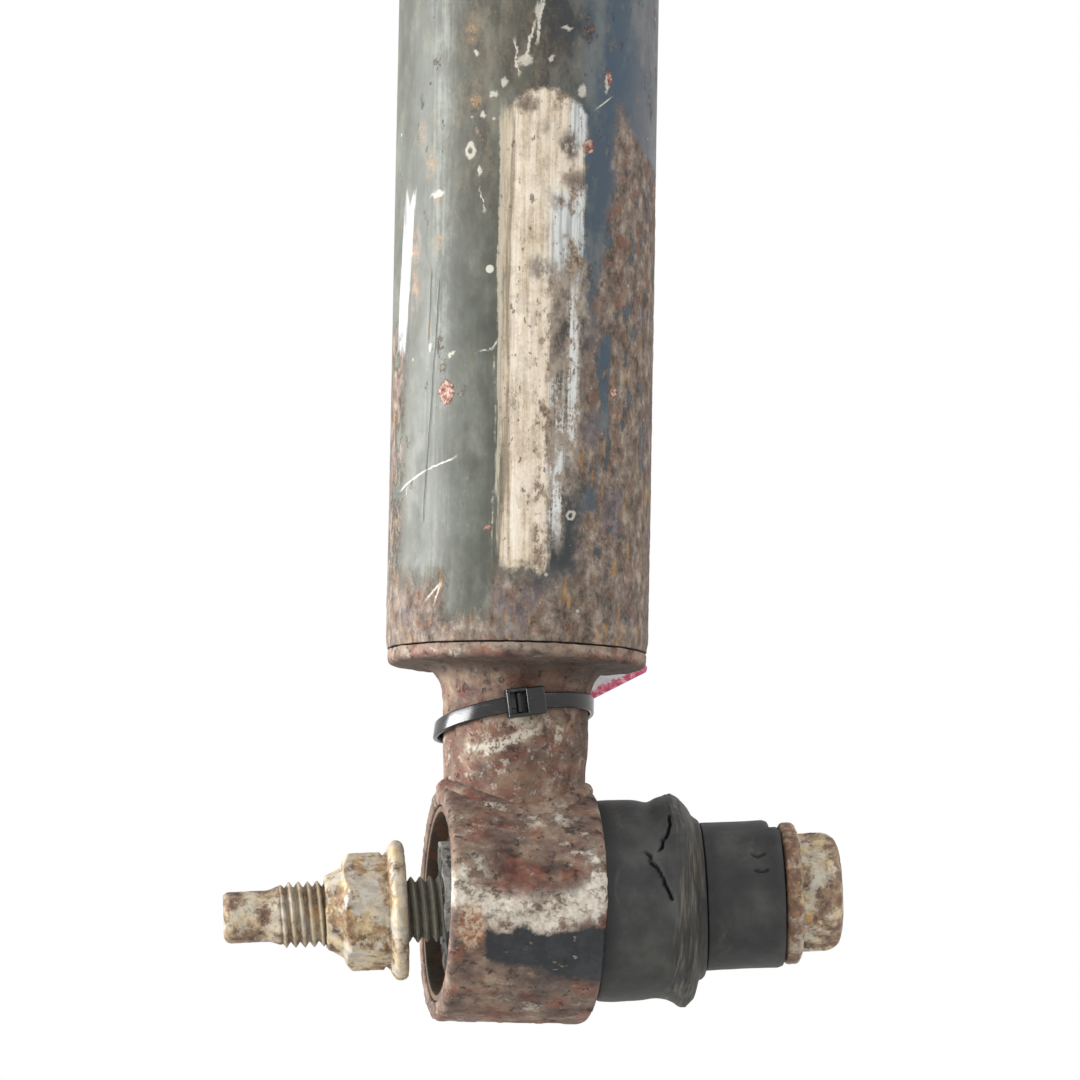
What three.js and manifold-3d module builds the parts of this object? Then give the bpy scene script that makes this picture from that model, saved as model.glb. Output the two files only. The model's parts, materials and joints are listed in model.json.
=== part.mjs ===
// Telescopic suspension strut with a rubber-bushed lower eye, its through bolt and flange nut,
// a cable tie with a flag tag on the neck, and a stud-mounted rubber top mount.
// Millimetres. Origin at the centre of the lower eye, +Z up the damper axis, +X towards the bolt head.

import * as THREE from 'three';
import { mergeVertices } from 'three/addons/utils/BufferGeometryUtils.js';
import Module from 'manifold-3d';

const wasm = await Module();
wasm.setup();

// ---------------------------------------------------------------- driving dimensions

const GAP = 0.3;                 // clearance kept between pieces that touch
const RUNNING = 0.05;            // radial clearance of the rod in its guide
const FINE = 36;                 // sides of the outer and the running surfaces
const MEDIUM = 24;
const COARSE = 16;

// damper tube
const TUBE_R = 28;
const TUBE_WALL = 2.2;
const TUBE_BOTTOM = 54.1;
const TUBE_TOP = 328;
const LIP = 3;

// forged base and neck
const BASE_BOTTOM = 51;
const BASE_RIM_R = 27.6;
const BASE_CORNER = 1.5;
const BASE_INSIDE = 57;
const NECK_R = 15.5;
const NECK_WAIST_R = 14.9;
const NECK_WAIST_Z = 26.5;
const FLARE_R = 20;
const FLARE_START = 43.5;

// lower eye
const EYE_R = 24.85;
const EYE_BORE_R = 21;
const EYE_HALF = 16.4;
const EYE_CHAMFER = 0.8;
const WELD_R = 2.4;

// rubber bush, seated askew in the eye
const TILT_YAW = -6.5;           // degrees about Z, head end towards -Y
const TILT_PITCH = -3.7;         // degrees about Y, head end up
const OUTER_SLEEVE_BORE_R = 19.5;
const SLEEVE_R = 14.25;
const SLEEVE_BORE_R = 7.5;
const SLEEVE_LEFT = -15.2;
const SLEEVE_RIGHT = 57.2;
const CORE_LEFT = -12.4;
const COLLAR_R = 21.5;
const COLLAR_LIP_R = 22.75;
const COLLAR_RIGHT = 40.4;
const BOOT_R = 15.75;

// through bolt, M14, and its flange nut
const BOLT_R = 7;
const BOLT_THREAD_END = -49.3;
const BOLT_DOG_R = 5.45;
const BOLT_TIP = -61.5;
const HEAD_ACROSS = 22;
const FLANGE_R = 15.1;
const BOLT_FLANGE = 4;
const HEAD_END = 70;
const NUT_FACE = -22.7;
const NUT_FLANGE_R = 14.9;
const NUT_FLANGE = 4.7;
const NUT_HEX = 8.6;
const NUT_COLLAR = 3.9;
const NUT_COLLAR_R = 7.8;

// cable tie and flag tag
const TIE_R = 15.8;
const TIE_THICK = 1.1;
const TIE_WIDTH = 3.4;
const TIE_Z = 40;
const TIE_SLOPE_X = 0.148;
const TIE_SLOPE_Y = -0.14;
const TIE_HEAD = [8.2, 4.5, 6.3];
const TIE_HEAD_AT = [-0.9, -18.4, 42.1];
const TAG_THICK = 0.6;
const TAG_LENGTH = 36;
const TAG_HEIGHT = 25;
const TAG_TURN = 28;             // degrees that the lower edge rises towards +X
const TAG_CORNER = [34.4, 53.4]; // x and z of the lower right corner
const TAG_FOOT = [17.5, 36.8];   // y and z where the card leaves the strap
const TAG_BEND = [29.2, 52];     // y and z where the card turns upright

// twin-tube insides
const PRESSURE_R = 18;
const PRESSURE_BORE_R = 16;
const VALVE_SHOULDER = 65;
const VALVE_SEAT = 69;
const CHECK_PLATE = 0.6;
const GUIDE_BOTTOM = 300;
const GUIDE_SPIGOT = 294;
const GUIDE_TOP = 320;
const GUIDE_BORE_R = 11.5;
const SEAL_POCKET_R = 18;
const SEAL_POCKET_Z = 312;

// rod group
const ROD_R = 10;
const ROD_TAIL_R = 6;
const ROD_BOTTOM = 178;
const ROD_SEAT = 209;
const ROD_SHOULDER = 493;
const ROD_THREAD_R = 7;
const ROD_TOP = 552;
const PISTON_BOTTOM = 190;
const PISTON_TOP = 206;
const PISTON_R = 15.2;
const BAND_BOTTOM = 194;
const BAND_TOP = 202;

// bump stop, dust cover and top mount
const BUMP_BOTTOM = 440;
const COVER_R = 34;
const COVER_WALL = 2;
const COVER_BOTTOM = 322;
const COVER_TOP = 495;
const MOUNT_BOTTOM = 500;
const MOUNT_PLATE = 515;
const MOUNT_TOP = 519;
const MOUNT_CAN_R = 32;
const MOUNT_BORE_R = 29;
const MOUNT_PLATE_R = 56;
const MOUNT_SLEEVE_R = 13;
const MOUNT_SLEEVE_TOP = 527;
const STUD_CIRCLE_R = 46;
const STUD_R = 4;
const STUD_TOP = 541;
const STUD_ANGLES = [90, 210, 330];

// ---------------------------------------------------------------- finishes

const finish = (color, roughness, metalness = 0) =>
  () => new THREE.MeshStandardMaterial({ color, roughness, metalness });
const wornPaint = finish(0x3c4540, 0.45, 0.2);
const rustySteel = finish(0x6b4a3c, 0.85, 0.3);
const plainSteel = finish(0x9a9a96, 0.4, 0.9);
const hardChrome = finish(0xc8ccd0, 0.12, 1);
const agedZinc = finish(0xb3a384, 0.65, 0.5);
const blackRubber = finish(0x1f2022, 0.85);
const blackNylon = finish(0x101113, 0.35);
const tagFilm = finish(0xd9d6d8, 0.5);
const bronze = finish(0x8c7048, 0.45, 0.7);
const sinteredIron = finish(0x55565a, 0.6, 0.7);
const creamFoam = finish(0xc9b98a, 0.9);
const blackPlastic = finish(0x1a1a1c, 0.55);
const blackCoating = finish(0x232426, 0.5, 0.3);

// ---------------------------------------------------------------- shape helpers

const radians = THREE.MathUtils.degToRad;

// A solid of revolution about Z. The profile lists [radius, z] pairs anticlockwise; it either
// starts and ends on the axis or is closed here.
function revolve(profile, sides = MEDIUM) {
  const onAxis = profile[0][0] === 0;
  const outline = onAxis ? profile : [...profile, profile[0]];
  const points = outline.map(([r, z]) => new THREE.Vector2(r, z));
  return new THREE.LatheGeometry(points, sides).rotateX(Math.PI / 2);
}

// The same about X, for profiles of [radius, x] pairs.
function revolveX(profile, sides = MEDIUM) {
  return revolve(profile, sides).rotateY(Math.PI / 2);
}

function ring(inner, outer, bottom, top, sides = MEDIUM) {
  return revolve([[inner, bottom], [outer, bottom], [outer, top], [inner, top]], sides);
}

function rod(radius, bottom, top, sides = MEDIUM) {
  return revolve([[0, bottom], [radius, bottom], [radius, top], [0, top]], sides);
}

// Points of an arc, from one angle to another in degrees, as [radius, z] pairs.
function arc(centreR, centreZ, radiusR, radiusZ, from, to, steps) {
  return Array.from({ length: steps + 1 }, (_, i) => {
    const angle = radians(from + ((to - from) * i) / steps);
    return [centreR + radiusR * Math.cos(angle), centreZ + radiusZ * Math.sin(angle)];
  });
}

// A hexagonal prism about Z with its corners turned down to a round face at both ends.
function hexagon(across, bottom, top) {
  const corner = across / Math.sqrt(3);
  const prism = rod(corner, bottom, top, 6);
  const drop = (corner - across / 2) * 0.6;
  const dome = revolve([
    [0, bottom], [across / 2, bottom], [corner, bottom + drop],
    [corner, top - drop], [across / 2, top], [0, top],
  ], COARSE);
  return { prism, dome };
}

function solid(geometry) {
  const bare = geometry.clone();
  bare.deleteAttribute('normal');
  bare.deleteAttribute('uv');
  const merged = mergeVertices(bare);
  const corners = merged.index.array;
  const kept = [];
  for (let i = 0; i < corners.length; i += 3) {
    const [a, b, c] = corners.slice(i, i + 3);
    if (a !== b && b !== c && c !== a) kept.push(a, b, c);
  }
  return new wasm.Manifold(new wasm.Mesh({
    numProp: 3,
    vertProperties: merged.attributes.position.array,
    triVerts: Uint32Array.from(kept),
  }));
}

function shapeOf(manifold) {
  const { vertProperties, triVerts } = manifold.getMesh();
  const geometry = new THREE.BufferGeometry();
  geometry.setAttribute('position', new THREE.BufferAttribute(vertProperties, 3));
  geometry.setIndex(new THREE.BufferAttribute(triVerts, 1));
  geometry.computeVertexNormals();
  return geometry;
}

// One geometry from the first, joined with the rest.
function join(first, ...rest) {
  return shapeOf(rest.reduce((whole, part) => whole.add(solid(part)), solid(first)));
}

// One geometry from the first, less the rest.
function cut(first, ...rest) {
  return shapeOf(rest.reduce((whole, part) => whole.subtract(solid(part)), solid(first)));
}

function meet(first, second) {
  return shapeOf(solid(first).intersect(solid(second)));
}

const strut = new THREE.Group();

function add(name, geometry, material, parent = strut) {
  const mesh = new THREE.Mesh(geometry, material());
  mesh.name = name;
  parent.add(mesh);
  return mesh;
}

// ---------------------------------------------------------------- tube, base and neck

const tubeBore = TUBE_R - TUBE_WALL;
add('outer_tube', revolve([
  [tubeBore, TUBE_BOTTOM],
  [TUBE_R, TUBE_BOTTOM],
  ...arc(TUBE_R - LIP, TUBE_TOP - LIP, LIP, LIP, 0, 90, 3),
  [20, TUBE_TOP],
  [20, TUBE_TOP - TUBE_WALL],
  [tubeBore, TUBE_TOP - TUBE_WALL],
], FINE), wornPaint);

const eyeOutside = revolveX([
  [0, -EYE_HALF - 5], [EYE_R + GAP, -EYE_HALF - 5], [EYE_R + GAP, EYE_HALF + 5], [0, EYE_HALF + 5],
], FINE);

const flareRise = BASE_BOTTOM - FLARE_START;
add('base_forging', cut(revolve([
  [0, 10],
  [NECK_R, 10],
  [NECK_R, NECK_WAIST_Z - 5],
  [NECK_WAIST_R, NECK_WAIST_Z],
  [NECK_R, NECK_WAIST_Z + 6],
  ...arc(FLARE_R, FLARE_START, FLARE_R - NECK_R, flareRise, 180, 90, 4),
  ...arc(BASE_RIM_R - BASE_CORNER, BASE_BOTTOM + BASE_CORNER, BASE_CORNER, BASE_CORNER, -90, 0, 2),
  [BASE_RIM_R, TUBE_BOTTOM - GAP],
  [tubeBore - GAP, TUBE_BOTTOM - GAP],
  [tubeBore - GAP, BASE_INSIDE],
  [0, BASE_INSIDE],
], FINE), eyeOutside), rustySteel);

// ---------------------------------------------------------------- eye and its weld

add('eye_ring', revolveX([
  [EYE_BORE_R, -EYE_HALF],
  [EYE_R - EYE_CHAMFER, -EYE_HALF],
  [EYE_R, -EYE_HALF + EYE_CHAMFER],
  [EYE_R, EYE_HALF - EYE_CHAMFER],
  [EYE_R - EYE_CHAMFER, EYE_HALF],
  [EYE_BORE_R, EYE_HALF],
], FINE), rustySteel);

// A ring of weld that follows the saddle where the round neck meets the round eye.
function weldBead() {
  const radius = NECK_R + 1;
  const bead = new THREE.TorusGeometry(radius, WELD_R, 8, FINE);
  const spots = bead.attributes.position;
  for (let i = 0; i < spots.count; i += 1) {
    const along = Math.atan2(spots.getY(i), spots.getX(i));
    const across = radius * Math.sin(along);
    spots.setZ(i, spots.getZ(i) + Math.sqrt(EYE_R ** 2 - across ** 2) + 0.6);
  }
  return cut(bead, rod(NECK_R + GAP, 5, 40, FINE), eyeOutside);
}
add('eye_weld', weldBead(), rustySteel);

// ---------------------------------------------------------------- bush in the eye

add('bush_outer_sleeve', revolveX([
  [OUTER_SLEEVE_BORE_R, -EYE_HALF + 0.4],
  [EYE_BORE_R - GAP, -EYE_HALF + 0.4],
  [EYE_BORE_R - GAP, EYE_HALF - 0.4],
  [OUTER_SLEEVE_BORE_R, EYE_HALF - 0.4],
], FINE), plainSteel);

const tilt = new THREE.Matrix4().makeRotationZ(radians(TILT_YAW))
  .multiply(new THREE.Matrix4().makeRotationY(radians(TILT_PITCH)));

const sleeveRoom = revolveX([
  [0, -40], [SLEEVE_R + GAP, -40], [SLEEVE_R + GAP, 70], [0, 70],
], MEDIUM).applyMatrix4(tilt);
add('bush_rubber_core', cut(revolveX([
  [0, CORE_LEFT],
  [OUTER_SLEEVE_BORE_R - GAP, CORE_LEFT],
  [OUTER_SLEEVE_BORE_R - GAP, EYE_HALF - 0.4],
  [0, EYE_HALF - 0.4],
], MEDIUM), sleeveRoom), blackRubber);

const collarProfile = [
  [0, EYE_HALF - 4],
  [COLLAR_R - 0.6, EYE_HALF - 4],
  [COLLAR_R, EYE_HALF + 3],
  [COLLAR_R, 28],
  [COLLAR_R - 0.5, 31],
  [COLLAR_LIP_R, 35],
  [COLLAR_LIP_R - 0.3, 37.4],
  [BOOT_R + 2.5, COLLAR_RIGHT],
  [0, COLLAR_RIGHT],
];
const eyeSide = new THREE.BoxGeometry(60, 80, 80).translate(EYE_HALF + GAP - 30, 0, 0);
add('bush_rubber_collar', cut(
  revolveX(collarProfile, MEDIUM).applyMatrix4(tilt), sleeveRoom, eyeSide,
), blackRubber);

// Everything on the bolt's own axis hangs in this turned group.
const boltAxis = new THREE.Group();
boltAxis.applyMatrix4(tilt);
strut.add(boltAxis);

add('bush_inner_sleeve', revolveX([
  [SLEEVE_BORE_R, SLEEVE_LEFT],
  [SLEEVE_R, SLEEVE_LEFT],
  [SLEEVE_R, SLEEVE_RIGHT],
  [SLEEVE_BORE_R, SLEEVE_RIGHT],
], MEDIUM), plainSteel, boltAxis);

add('bush_end_boot', revolveX([
  [SLEEVE_R + GAP, COLLAR_RIGHT + 1.2],
  [BOOT_R, COLLAR_RIGHT + 1.2],
  [BOOT_R - 0.1, SLEEVE_RIGHT - 1.2],
  [BOOT_R - 0.5, SLEEVE_RIGHT],
  [SLEEVE_R + GAP, SLEEVE_RIGHT],
], MEDIUM), blackRubber, boltAxis);

// ---------------------------------------------------------------- bolt and nut

function boltShape() {
  const face = SLEEVE_RIGHT + GAP;
  const shank = rod(BOLT_R, BOLT_THREAD_END, face + 1, COARSE);
  const dog = revolve([
    [0, BOLT_TIP],
    [BOLT_DOG_R - 0.8, BOLT_TIP],
    [BOLT_DOG_R, BOLT_TIP + 0.8],
    [BOLT_DOG_R, BOLT_THREAD_END - 2.3],
    [BOLT_R, BOLT_THREAD_END + 0.01],
    [0, BOLT_THREAD_END + 0.01],
  ], COARSE);
  const flange = revolve([
    [0, face],
    [FLANGE_R - 0.8, face],
    [FLANGE_R, face + 0.8],
    [FLANGE_R, face + 2.4],
    [HEAD_ACROSS / 2, face + BOLT_FLANGE],
    [0, face + BOLT_FLANGE],
  ], MEDIUM);
  const { prism, dome } = hexagon(HEAD_ACROSS, face, HEAD_END);
  return join(shank, dog, flange, meet(prism, dome)).rotateY(Math.PI / 2);
}
add('pivot_bolt', boltShape(), agedZinc, boltAxis);

function nutShape() {
  const hexEnd = NUT_FACE - NUT_FLANGE - NUT_HEX;
  const flange = revolve([
    [0, NUT_FACE - NUT_FLANGE],
    [HEAD_ACROSS / 2, NUT_FACE - NUT_FLANGE],
    [NUT_FLANGE_R, NUT_FACE - 2.6],
    [NUT_FLANGE_R, NUT_FACE - 0.8],
    [NUT_FLANGE_R - 0.8, NUT_FACE],
    [0, NUT_FACE],
  ], MEDIUM);
  const collar = revolve([
    [0, hexEnd - NUT_COLLAR],
    [NUT_COLLAR_R, hexEnd - NUT_COLLAR],
    [HEAD_ACROSS / 2 - 1, hexEnd + 0.5],
    [0, hexEnd + 0.5],
  ], COARSE);
  const { prism, dome } = hexagon(HEAD_ACROSS, hexEnd, NUT_FACE - 0.5);
  const thread = rod(BOLT_R + GAP, -70, 0, COARSE);
  return cut(join(meet(prism, dome), flange, collar), thread).rotateY(Math.PI / 2);
}
add('flange_nut', nutShape(), agedZinc, boltAxis);

// ---------------------------------------------------------------- cable tie and tag

function tieShape() {
  const strap = ring(TIE_R, TIE_R + TIE_THICK, -TIE_WIDTH / 2, TIE_WIDTH / 2, FINE);
  const spots = strap.attributes.position;
  for (let i = 0; i < spots.count; i += 1) {
    const rise = TIE_SLOPE_X * spots.getX(i) + TIE_SLOPE_Y * spots.getY(i);
    spots.setZ(i, spots.getZ(i) + TIE_Z + rise);
  }
  const head = new THREE.BoxGeometry(...TIE_HEAD).translate(...TIE_HEAD_AT);
  return join(strap, head);
}
add('cable_tie', tieShape(), blackNylon);

function tagShape() {
  const [footY, footZ] = TAG_FOOT;
  const [bendY, bendZ] = TAG_BEND;
  const slope = (bendY - footY) / (bendZ - footZ);
  const lowest = footZ - 1;
  const bent = new THREE.Shape([
    new THREE.Vector2(footY - slope, lowest),
    new THREE.Vector2(bendY, bendZ),
    new THREE.Vector2(bendY, 100),
    new THREE.Vector2(bendY + TAG_THICK, 100),
    new THREE.Vector2(bendY + TAG_THICK, bendZ),
    new THREE.Vector2(footY - slope + TAG_THICK, lowest),
  ]);
  const sheet = new THREE.ExtrudeGeometry(bent, { depth: 120, bevelEnabled: false })
    .applyMatrix4(new THREE.Matrix4().makeBasis(
      new THREE.Vector3(0, 1, 0), new THREE.Vector3(0, 0, 1), new THREE.Vector3(1, 0, 0),
    ))
    .translate(-60, 0, 0);
  const outline = new THREE.BoxGeometry(TAG_LENGTH, 60, TAG_HEIGHT)
    .translate(-TAG_LENGTH / 2, 20, TAG_HEIGHT / 2)
    .rotateY(-radians(TAG_TURN))
    .translate(TAG_CORNER[0], 0, TAG_CORNER[1]);
  return meet(sheet, outline);
}
add('hang_tag', tagShape(), tagFilm);

// ---------------------------------------------------------------- base valve

add('pressure_tube', ring(PRESSURE_BORE_R, PRESSURE_R, VALVE_SHOULDER + GAP, GUIDE_BOTTOM - GAP),
  plainSteel);

add('base_valve_body', revolve([
  [3.4, 61.2],
  [14, 61.2],
  [14, BASE_INSIDE + GAP],
  [17.4, BASE_INSIDE + GAP],
  [17.4, VALVE_SHOULDER],
  [PRESSURE_BORE_R - GAP, VALVE_SHOULDER],
  [PRESSURE_BORE_R - GAP, VALVE_SEAT],
  [3.4, VALVE_SEAT],
], COARSE), sinteredIron);

add('base_valve_discs', ring(3.4, 11, 60, 60.9, COARSE), plainSteel);

add('base_valve_pin', revolve([
  [0, 58.4], [5, 58.4], [5, 59.7], [3, 59.7], [3, 73], [7.5, 73], [7.5, 74.5], [0, 74.5],
], COARSE), plainSteel);

const plateBottom = VALVE_SEAT + GAP;
add('base_check_plate', ring(4, 13, plateBottom, plateBottom + CHECK_PLATE, COARSE), plainSteel);

const springFoot = plateBottom + CHECK_PLATE + GAP;
add('base_check_spring', revolve([
  [12, springFoot], [12.4, springFoot + 0.3], [4.2, 72.7], [3.8, 72.4],
], COARSE), plainSteel);

// ---------------------------------------------------------------- rod guide, seal and cap

add('rod_guide', revolve([
  [GUIDE_BORE_R, GUIDE_SPIGOT],
  [PRESSURE_BORE_R - GAP, GUIDE_SPIGOT],
  [PRESSURE_BORE_R - GAP, GUIDE_BOTTOM],
  [tubeBore - GAP, GUIDE_BOTTOM],
  [tubeBore - GAP, GUIDE_TOP],
  [SEAL_POCKET_R, GUIDE_TOP],
  [SEAL_POCKET_R, SEAL_POCKET_Z],
  [GUIDE_BORE_R, SEAL_POCKET_Z],
], MEDIUM), sinteredIron);

add('rod_guide_bush', ring(
  ROD_R + RUNNING, GUIDE_BORE_R - GAP, GUIDE_SPIGOT + 1, SEAL_POCKET_Z - 1, FINE,
), bronze);

add('rod_seal', revolve([
  [ROD_R + RUNNING, SEAL_POCKET_Z + GAP],
  [SEAL_POCKET_R - GAP, SEAL_POCKET_Z + GAP],
  [SEAL_POCKET_R - GAP, GUIDE_TOP + 1.5],
  [14, GUIDE_TOP + 1.5],
  [11.5, GUIDE_TOP - 2],
  [ROD_R + RUNNING, GUIDE_TOP - 1],
], FINE), blackRubber);

add('seal_retainer', ring(12, tubeBore - GAP, GUIDE_TOP + 1.8, TUBE_TOP - TUBE_WALL - GAP, COARSE),
  plainSteel);

add('bump_cap', revolve([
  [TUBE_R + GAP, TUBE_TOP - 12],
  [TUBE_R + 1.6, TUBE_TOP - 12],
  [TUBE_R + 1.6, TUBE_TOP + 1.5],
  [TUBE_R - 0.2, TUBE_TOP + 3],
  [11, TUBE_TOP + 3],
  [11, TUBE_TOP + GAP],
  [TUBE_R + GAP, TUBE_TOP + GAP],
], FINE), blackCoating);

// ---------------------------------------------------------------- piston and rod

add('piston_rod', revolve([
  [0, ROD_BOTTOM],
  [ROD_TAIL_R - 0.8, ROD_BOTTOM],
  [ROD_TAIL_R, ROD_BOTTOM + 0.8],
  [ROD_TAIL_R, ROD_SEAT],
  [ROD_R, ROD_SEAT],
  [ROD_R, ROD_SHOULDER],
  [ROD_THREAD_R, ROD_SHOULDER],
  [ROD_THREAD_R, ROD_TOP - 1],
  [ROD_THREAD_R - 1, ROD_TOP],
  [0, ROD_TOP],
], FINE), hardChrome);

add('piston', revolve([
  [ROD_TAIL_R + GAP, PISTON_BOTTOM],
  [PISTON_R, PISTON_BOTTOM],
  [PISTON_R, BAND_BOTTOM],
  [PISTON_R - 0.8, BAND_BOTTOM],
  [PISTON_R - 0.8, BAND_TOP],
  [PISTON_R, BAND_TOP],
  [PISTON_R, PISTON_TOP],
  [ROD_TAIL_R + GAP, PISTON_TOP],
], COARSE), sinteredIron);

add('piston_band', ring(PISTON_R - 0.5, 15.8, BAND_BOTTOM + GAP, BAND_TOP - GAP, COARSE), bronze);

add('rebound_shims', ring(ROD_TAIL_R + GAP, 13, PISTON_BOTTOM - 1.8, PISTON_BOTTOM - GAP, COARSE),
  plainSteel);

function hexNut(across, bore, bottom, top) {
  const { prism, dome } = hexagon(across, bottom, top);
  return cut(meet(prism, dome), rod(bore, bottom - 1, top + 1, COARSE));
}
add('piston_nut', hexNut(17, ROD_TAIL_R + GAP, 179.5, PISTON_BOTTOM - 2.1), plainSteel);

add('piston_check_plate', ring(8, 13.5, PISTON_TOP + GAP, PISTON_TOP + GAP + CHECK_PLATE, COARSE),
  plainSteel);

add('piston_check_spring', revolve([
  [12.6, PISTON_TOP + 1.2],
  [13, PISTON_TOP + 1.5],
  [ROD_TAIL_R + 0.7, ROD_SEAT - GAP],
  [ROD_TAIL_R + GAP, ROD_SEAT - 0.6],
], COARSE), plainSteel);

add('rebound_stop', revolve([
  [ROD_R + GAP, 276], [13, 276], [14.5, 278], [14.5, 282], [ROD_R + GAP, 282],
], COARSE), plainSteel);

add('rebound_bumper', revolve([
  [ROD_R + GAP, 282.3],
  [14.2, 282.3],
  [14.8, 288],
  [14.2, GUIDE_SPIGOT - GAP],
  [ROD_R + GAP, GUIDE_SPIGOT - GAP],
], COARSE), blackRubber);

// ---------------------------------------------------------------- bump stop and dust cover

// Three soft lobes that narrow towards the tip.
function bumpStopShape() {
  const lobes = [19, 21.5, 24];
  const top = COVER_TOP - 2.3;
  const height = (top - BUMP_BOTTOM) / lobes.length;
  const side = lobes.flatMap((radius, i) => {
    const foot = BUMP_BOTTOM + i * height;
    return [
      [radius - 3.5, foot + 0.6],
      [radius, foot + height * 0.35],
      [radius, foot + height * 0.7],
    ];
  });
  return revolve([
    [ROD_R + 0.4, BUMP_BOTTOM], ...side, [21, top], [ROD_R + 0.4, top],
  ], MEDIUM);
}
add('bump_stop', bumpStopShape(), creamFoam);

add('dust_cover', revolve([
  [COVER_R - COVER_WALL, COVER_BOTTOM],
  [COVER_R, COVER_BOTTOM],
  [COVER_R, COVER_TOP - 4],
  [COVER_R - 4, COVER_TOP],
  [ROD_THREAD_R + GAP, COVER_TOP],
  [ROD_THREAD_R + GAP, COVER_TOP - COVER_WALL + GAP],
  [COVER_R - 5, COVER_TOP - COVER_WALL + GAP],
  [COVER_R - COVER_WALL, COVER_TOP - 5],
], FINE), blackPlastic);

// ---------------------------------------------------------------- top mount

const washerBore = ROD_THREAD_R + GAP;
add('lower_washer', revolve([
  [washerBore, COVER_TOP + GAP],
  [24, COVER_TOP + GAP],
  [25.5, COVER_TOP + 2.8],
  [24.4, COVER_TOP + 3.2],
  [23, COVER_TOP + 2.6],
  [washerBore, COVER_TOP + 2.6],
], MEDIUM), plainSteel);

add('mount_inner_sleeve', ring(washerBore, MOUNT_SLEEVE_R, COVER_TOP + 2.9, MOUNT_SLEEVE_TOP),
  plainSteel);

add('mount_rubber', revolve([
  [MOUNT_SLEEVE_R + GAP, MOUNT_BOTTOM + 1],
  [17, MOUNT_BOTTOM - 0.8],
  [24, MOUNT_BOTTOM - 0.8],
  [MOUNT_BORE_R - GAP, MOUNT_BOTTOM + 1],
  [MOUNT_BORE_R - GAP, MOUNT_TOP - 0.5],
  [25, MOUNT_TOP + 4.5],
  [17, MOUNT_TOP + 6.5],
  [MOUNT_SLEEVE_R + GAP, MOUNT_TOP + 5.5],
], MEDIUM), blackRubber);

const studSpots = STUD_ANGLES.map((angle) => [
  STUD_CIRCLE_R * Math.cos(radians(angle)), STUD_CIRCLE_R * Math.sin(radians(angle)),
]);

const studHoles = studSpots.map(([x, y]) =>
  rod(STUD_R + GAP, MOUNT_PLATE - 2, MOUNT_TOP + 2, COARSE).translate(x, y, 0));
add('mount_plate', cut(ring(MOUNT_BORE_R, MOUNT_PLATE_R, MOUNT_PLATE, MOUNT_TOP, FINE), ...studHoles),
  blackCoating);

add('mount_can', revolve([
  [MOUNT_BORE_R, MOUNT_BOTTOM],
  [MOUNT_CAN_R, MOUNT_BOTTOM],
  [MOUNT_CAN_R, MOUNT_PLATE - 3],
  [MOUNT_CAN_R + 3, MOUNT_PLATE - GAP],
  [MOUNT_BORE_R, MOUNT_PLATE - GAP],
], FINE), blackCoating);

studSpots.forEach(([x, y], i) => {
  const stud = revolve([
    [0, MOUNT_PLATE - 3.3],
    [6.5, MOUNT_PLATE - 3.3],
    [6.5, MOUNT_PLATE - GAP],
    [STUD_R, MOUNT_PLATE - GAP],
    [STUD_R, STUD_TOP - 1],
    [STUD_R - 1, STUD_TOP],
    [0, STUD_TOP],
  ], COARSE);
  add(`mount_stud_${i + 1}`, stud, agedZinc).position.set(x, y, 0);
});

add('top_washer', revolve([
  [washerBore, MOUNT_SLEEVE_TOP + GAP],
  [22, MOUNT_SLEEVE_TOP + GAP],
  [24, MOUNT_SLEEVE_TOP - 1.2],
  [25, MOUNT_SLEEVE_TOP],
  [22.6, MOUNT_SLEEVE_TOP + 3],
  [washerBore, MOUNT_SLEEVE_TOP + 3],
], MEDIUM), plainSteel);

function topNutShape() {
  const bottom = MOUNT_SLEEVE_TOP + 3.3;
  const { prism, dome } = hexagon(21, bottom + 1, bottom + 13);
  const flange = revolve([
    [0, bottom], [14, bottom], [14, bottom + 1.5], [11, bottom + 3.5], [0, bottom + 3.5],
  ], MEDIUM);
  return cut(join(meet(prism, dome), flange), rod(washerBore, bottom - 1, bottom + 14, COARSE));
}
add('top_nut', topNutShape(), agedZinc);

export default strut;
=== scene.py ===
"""Looks of a worn suspension strut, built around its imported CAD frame.

Lengths are millimetres until a mesh is made. Angles about the damper run from the front (-Y)
towards +X, and angles about the lower bolt run from the front upwards.
"""
import json
import math

import bmesh
import bpy
import numpy as np
from mathutils import Matrix, Vector


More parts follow.
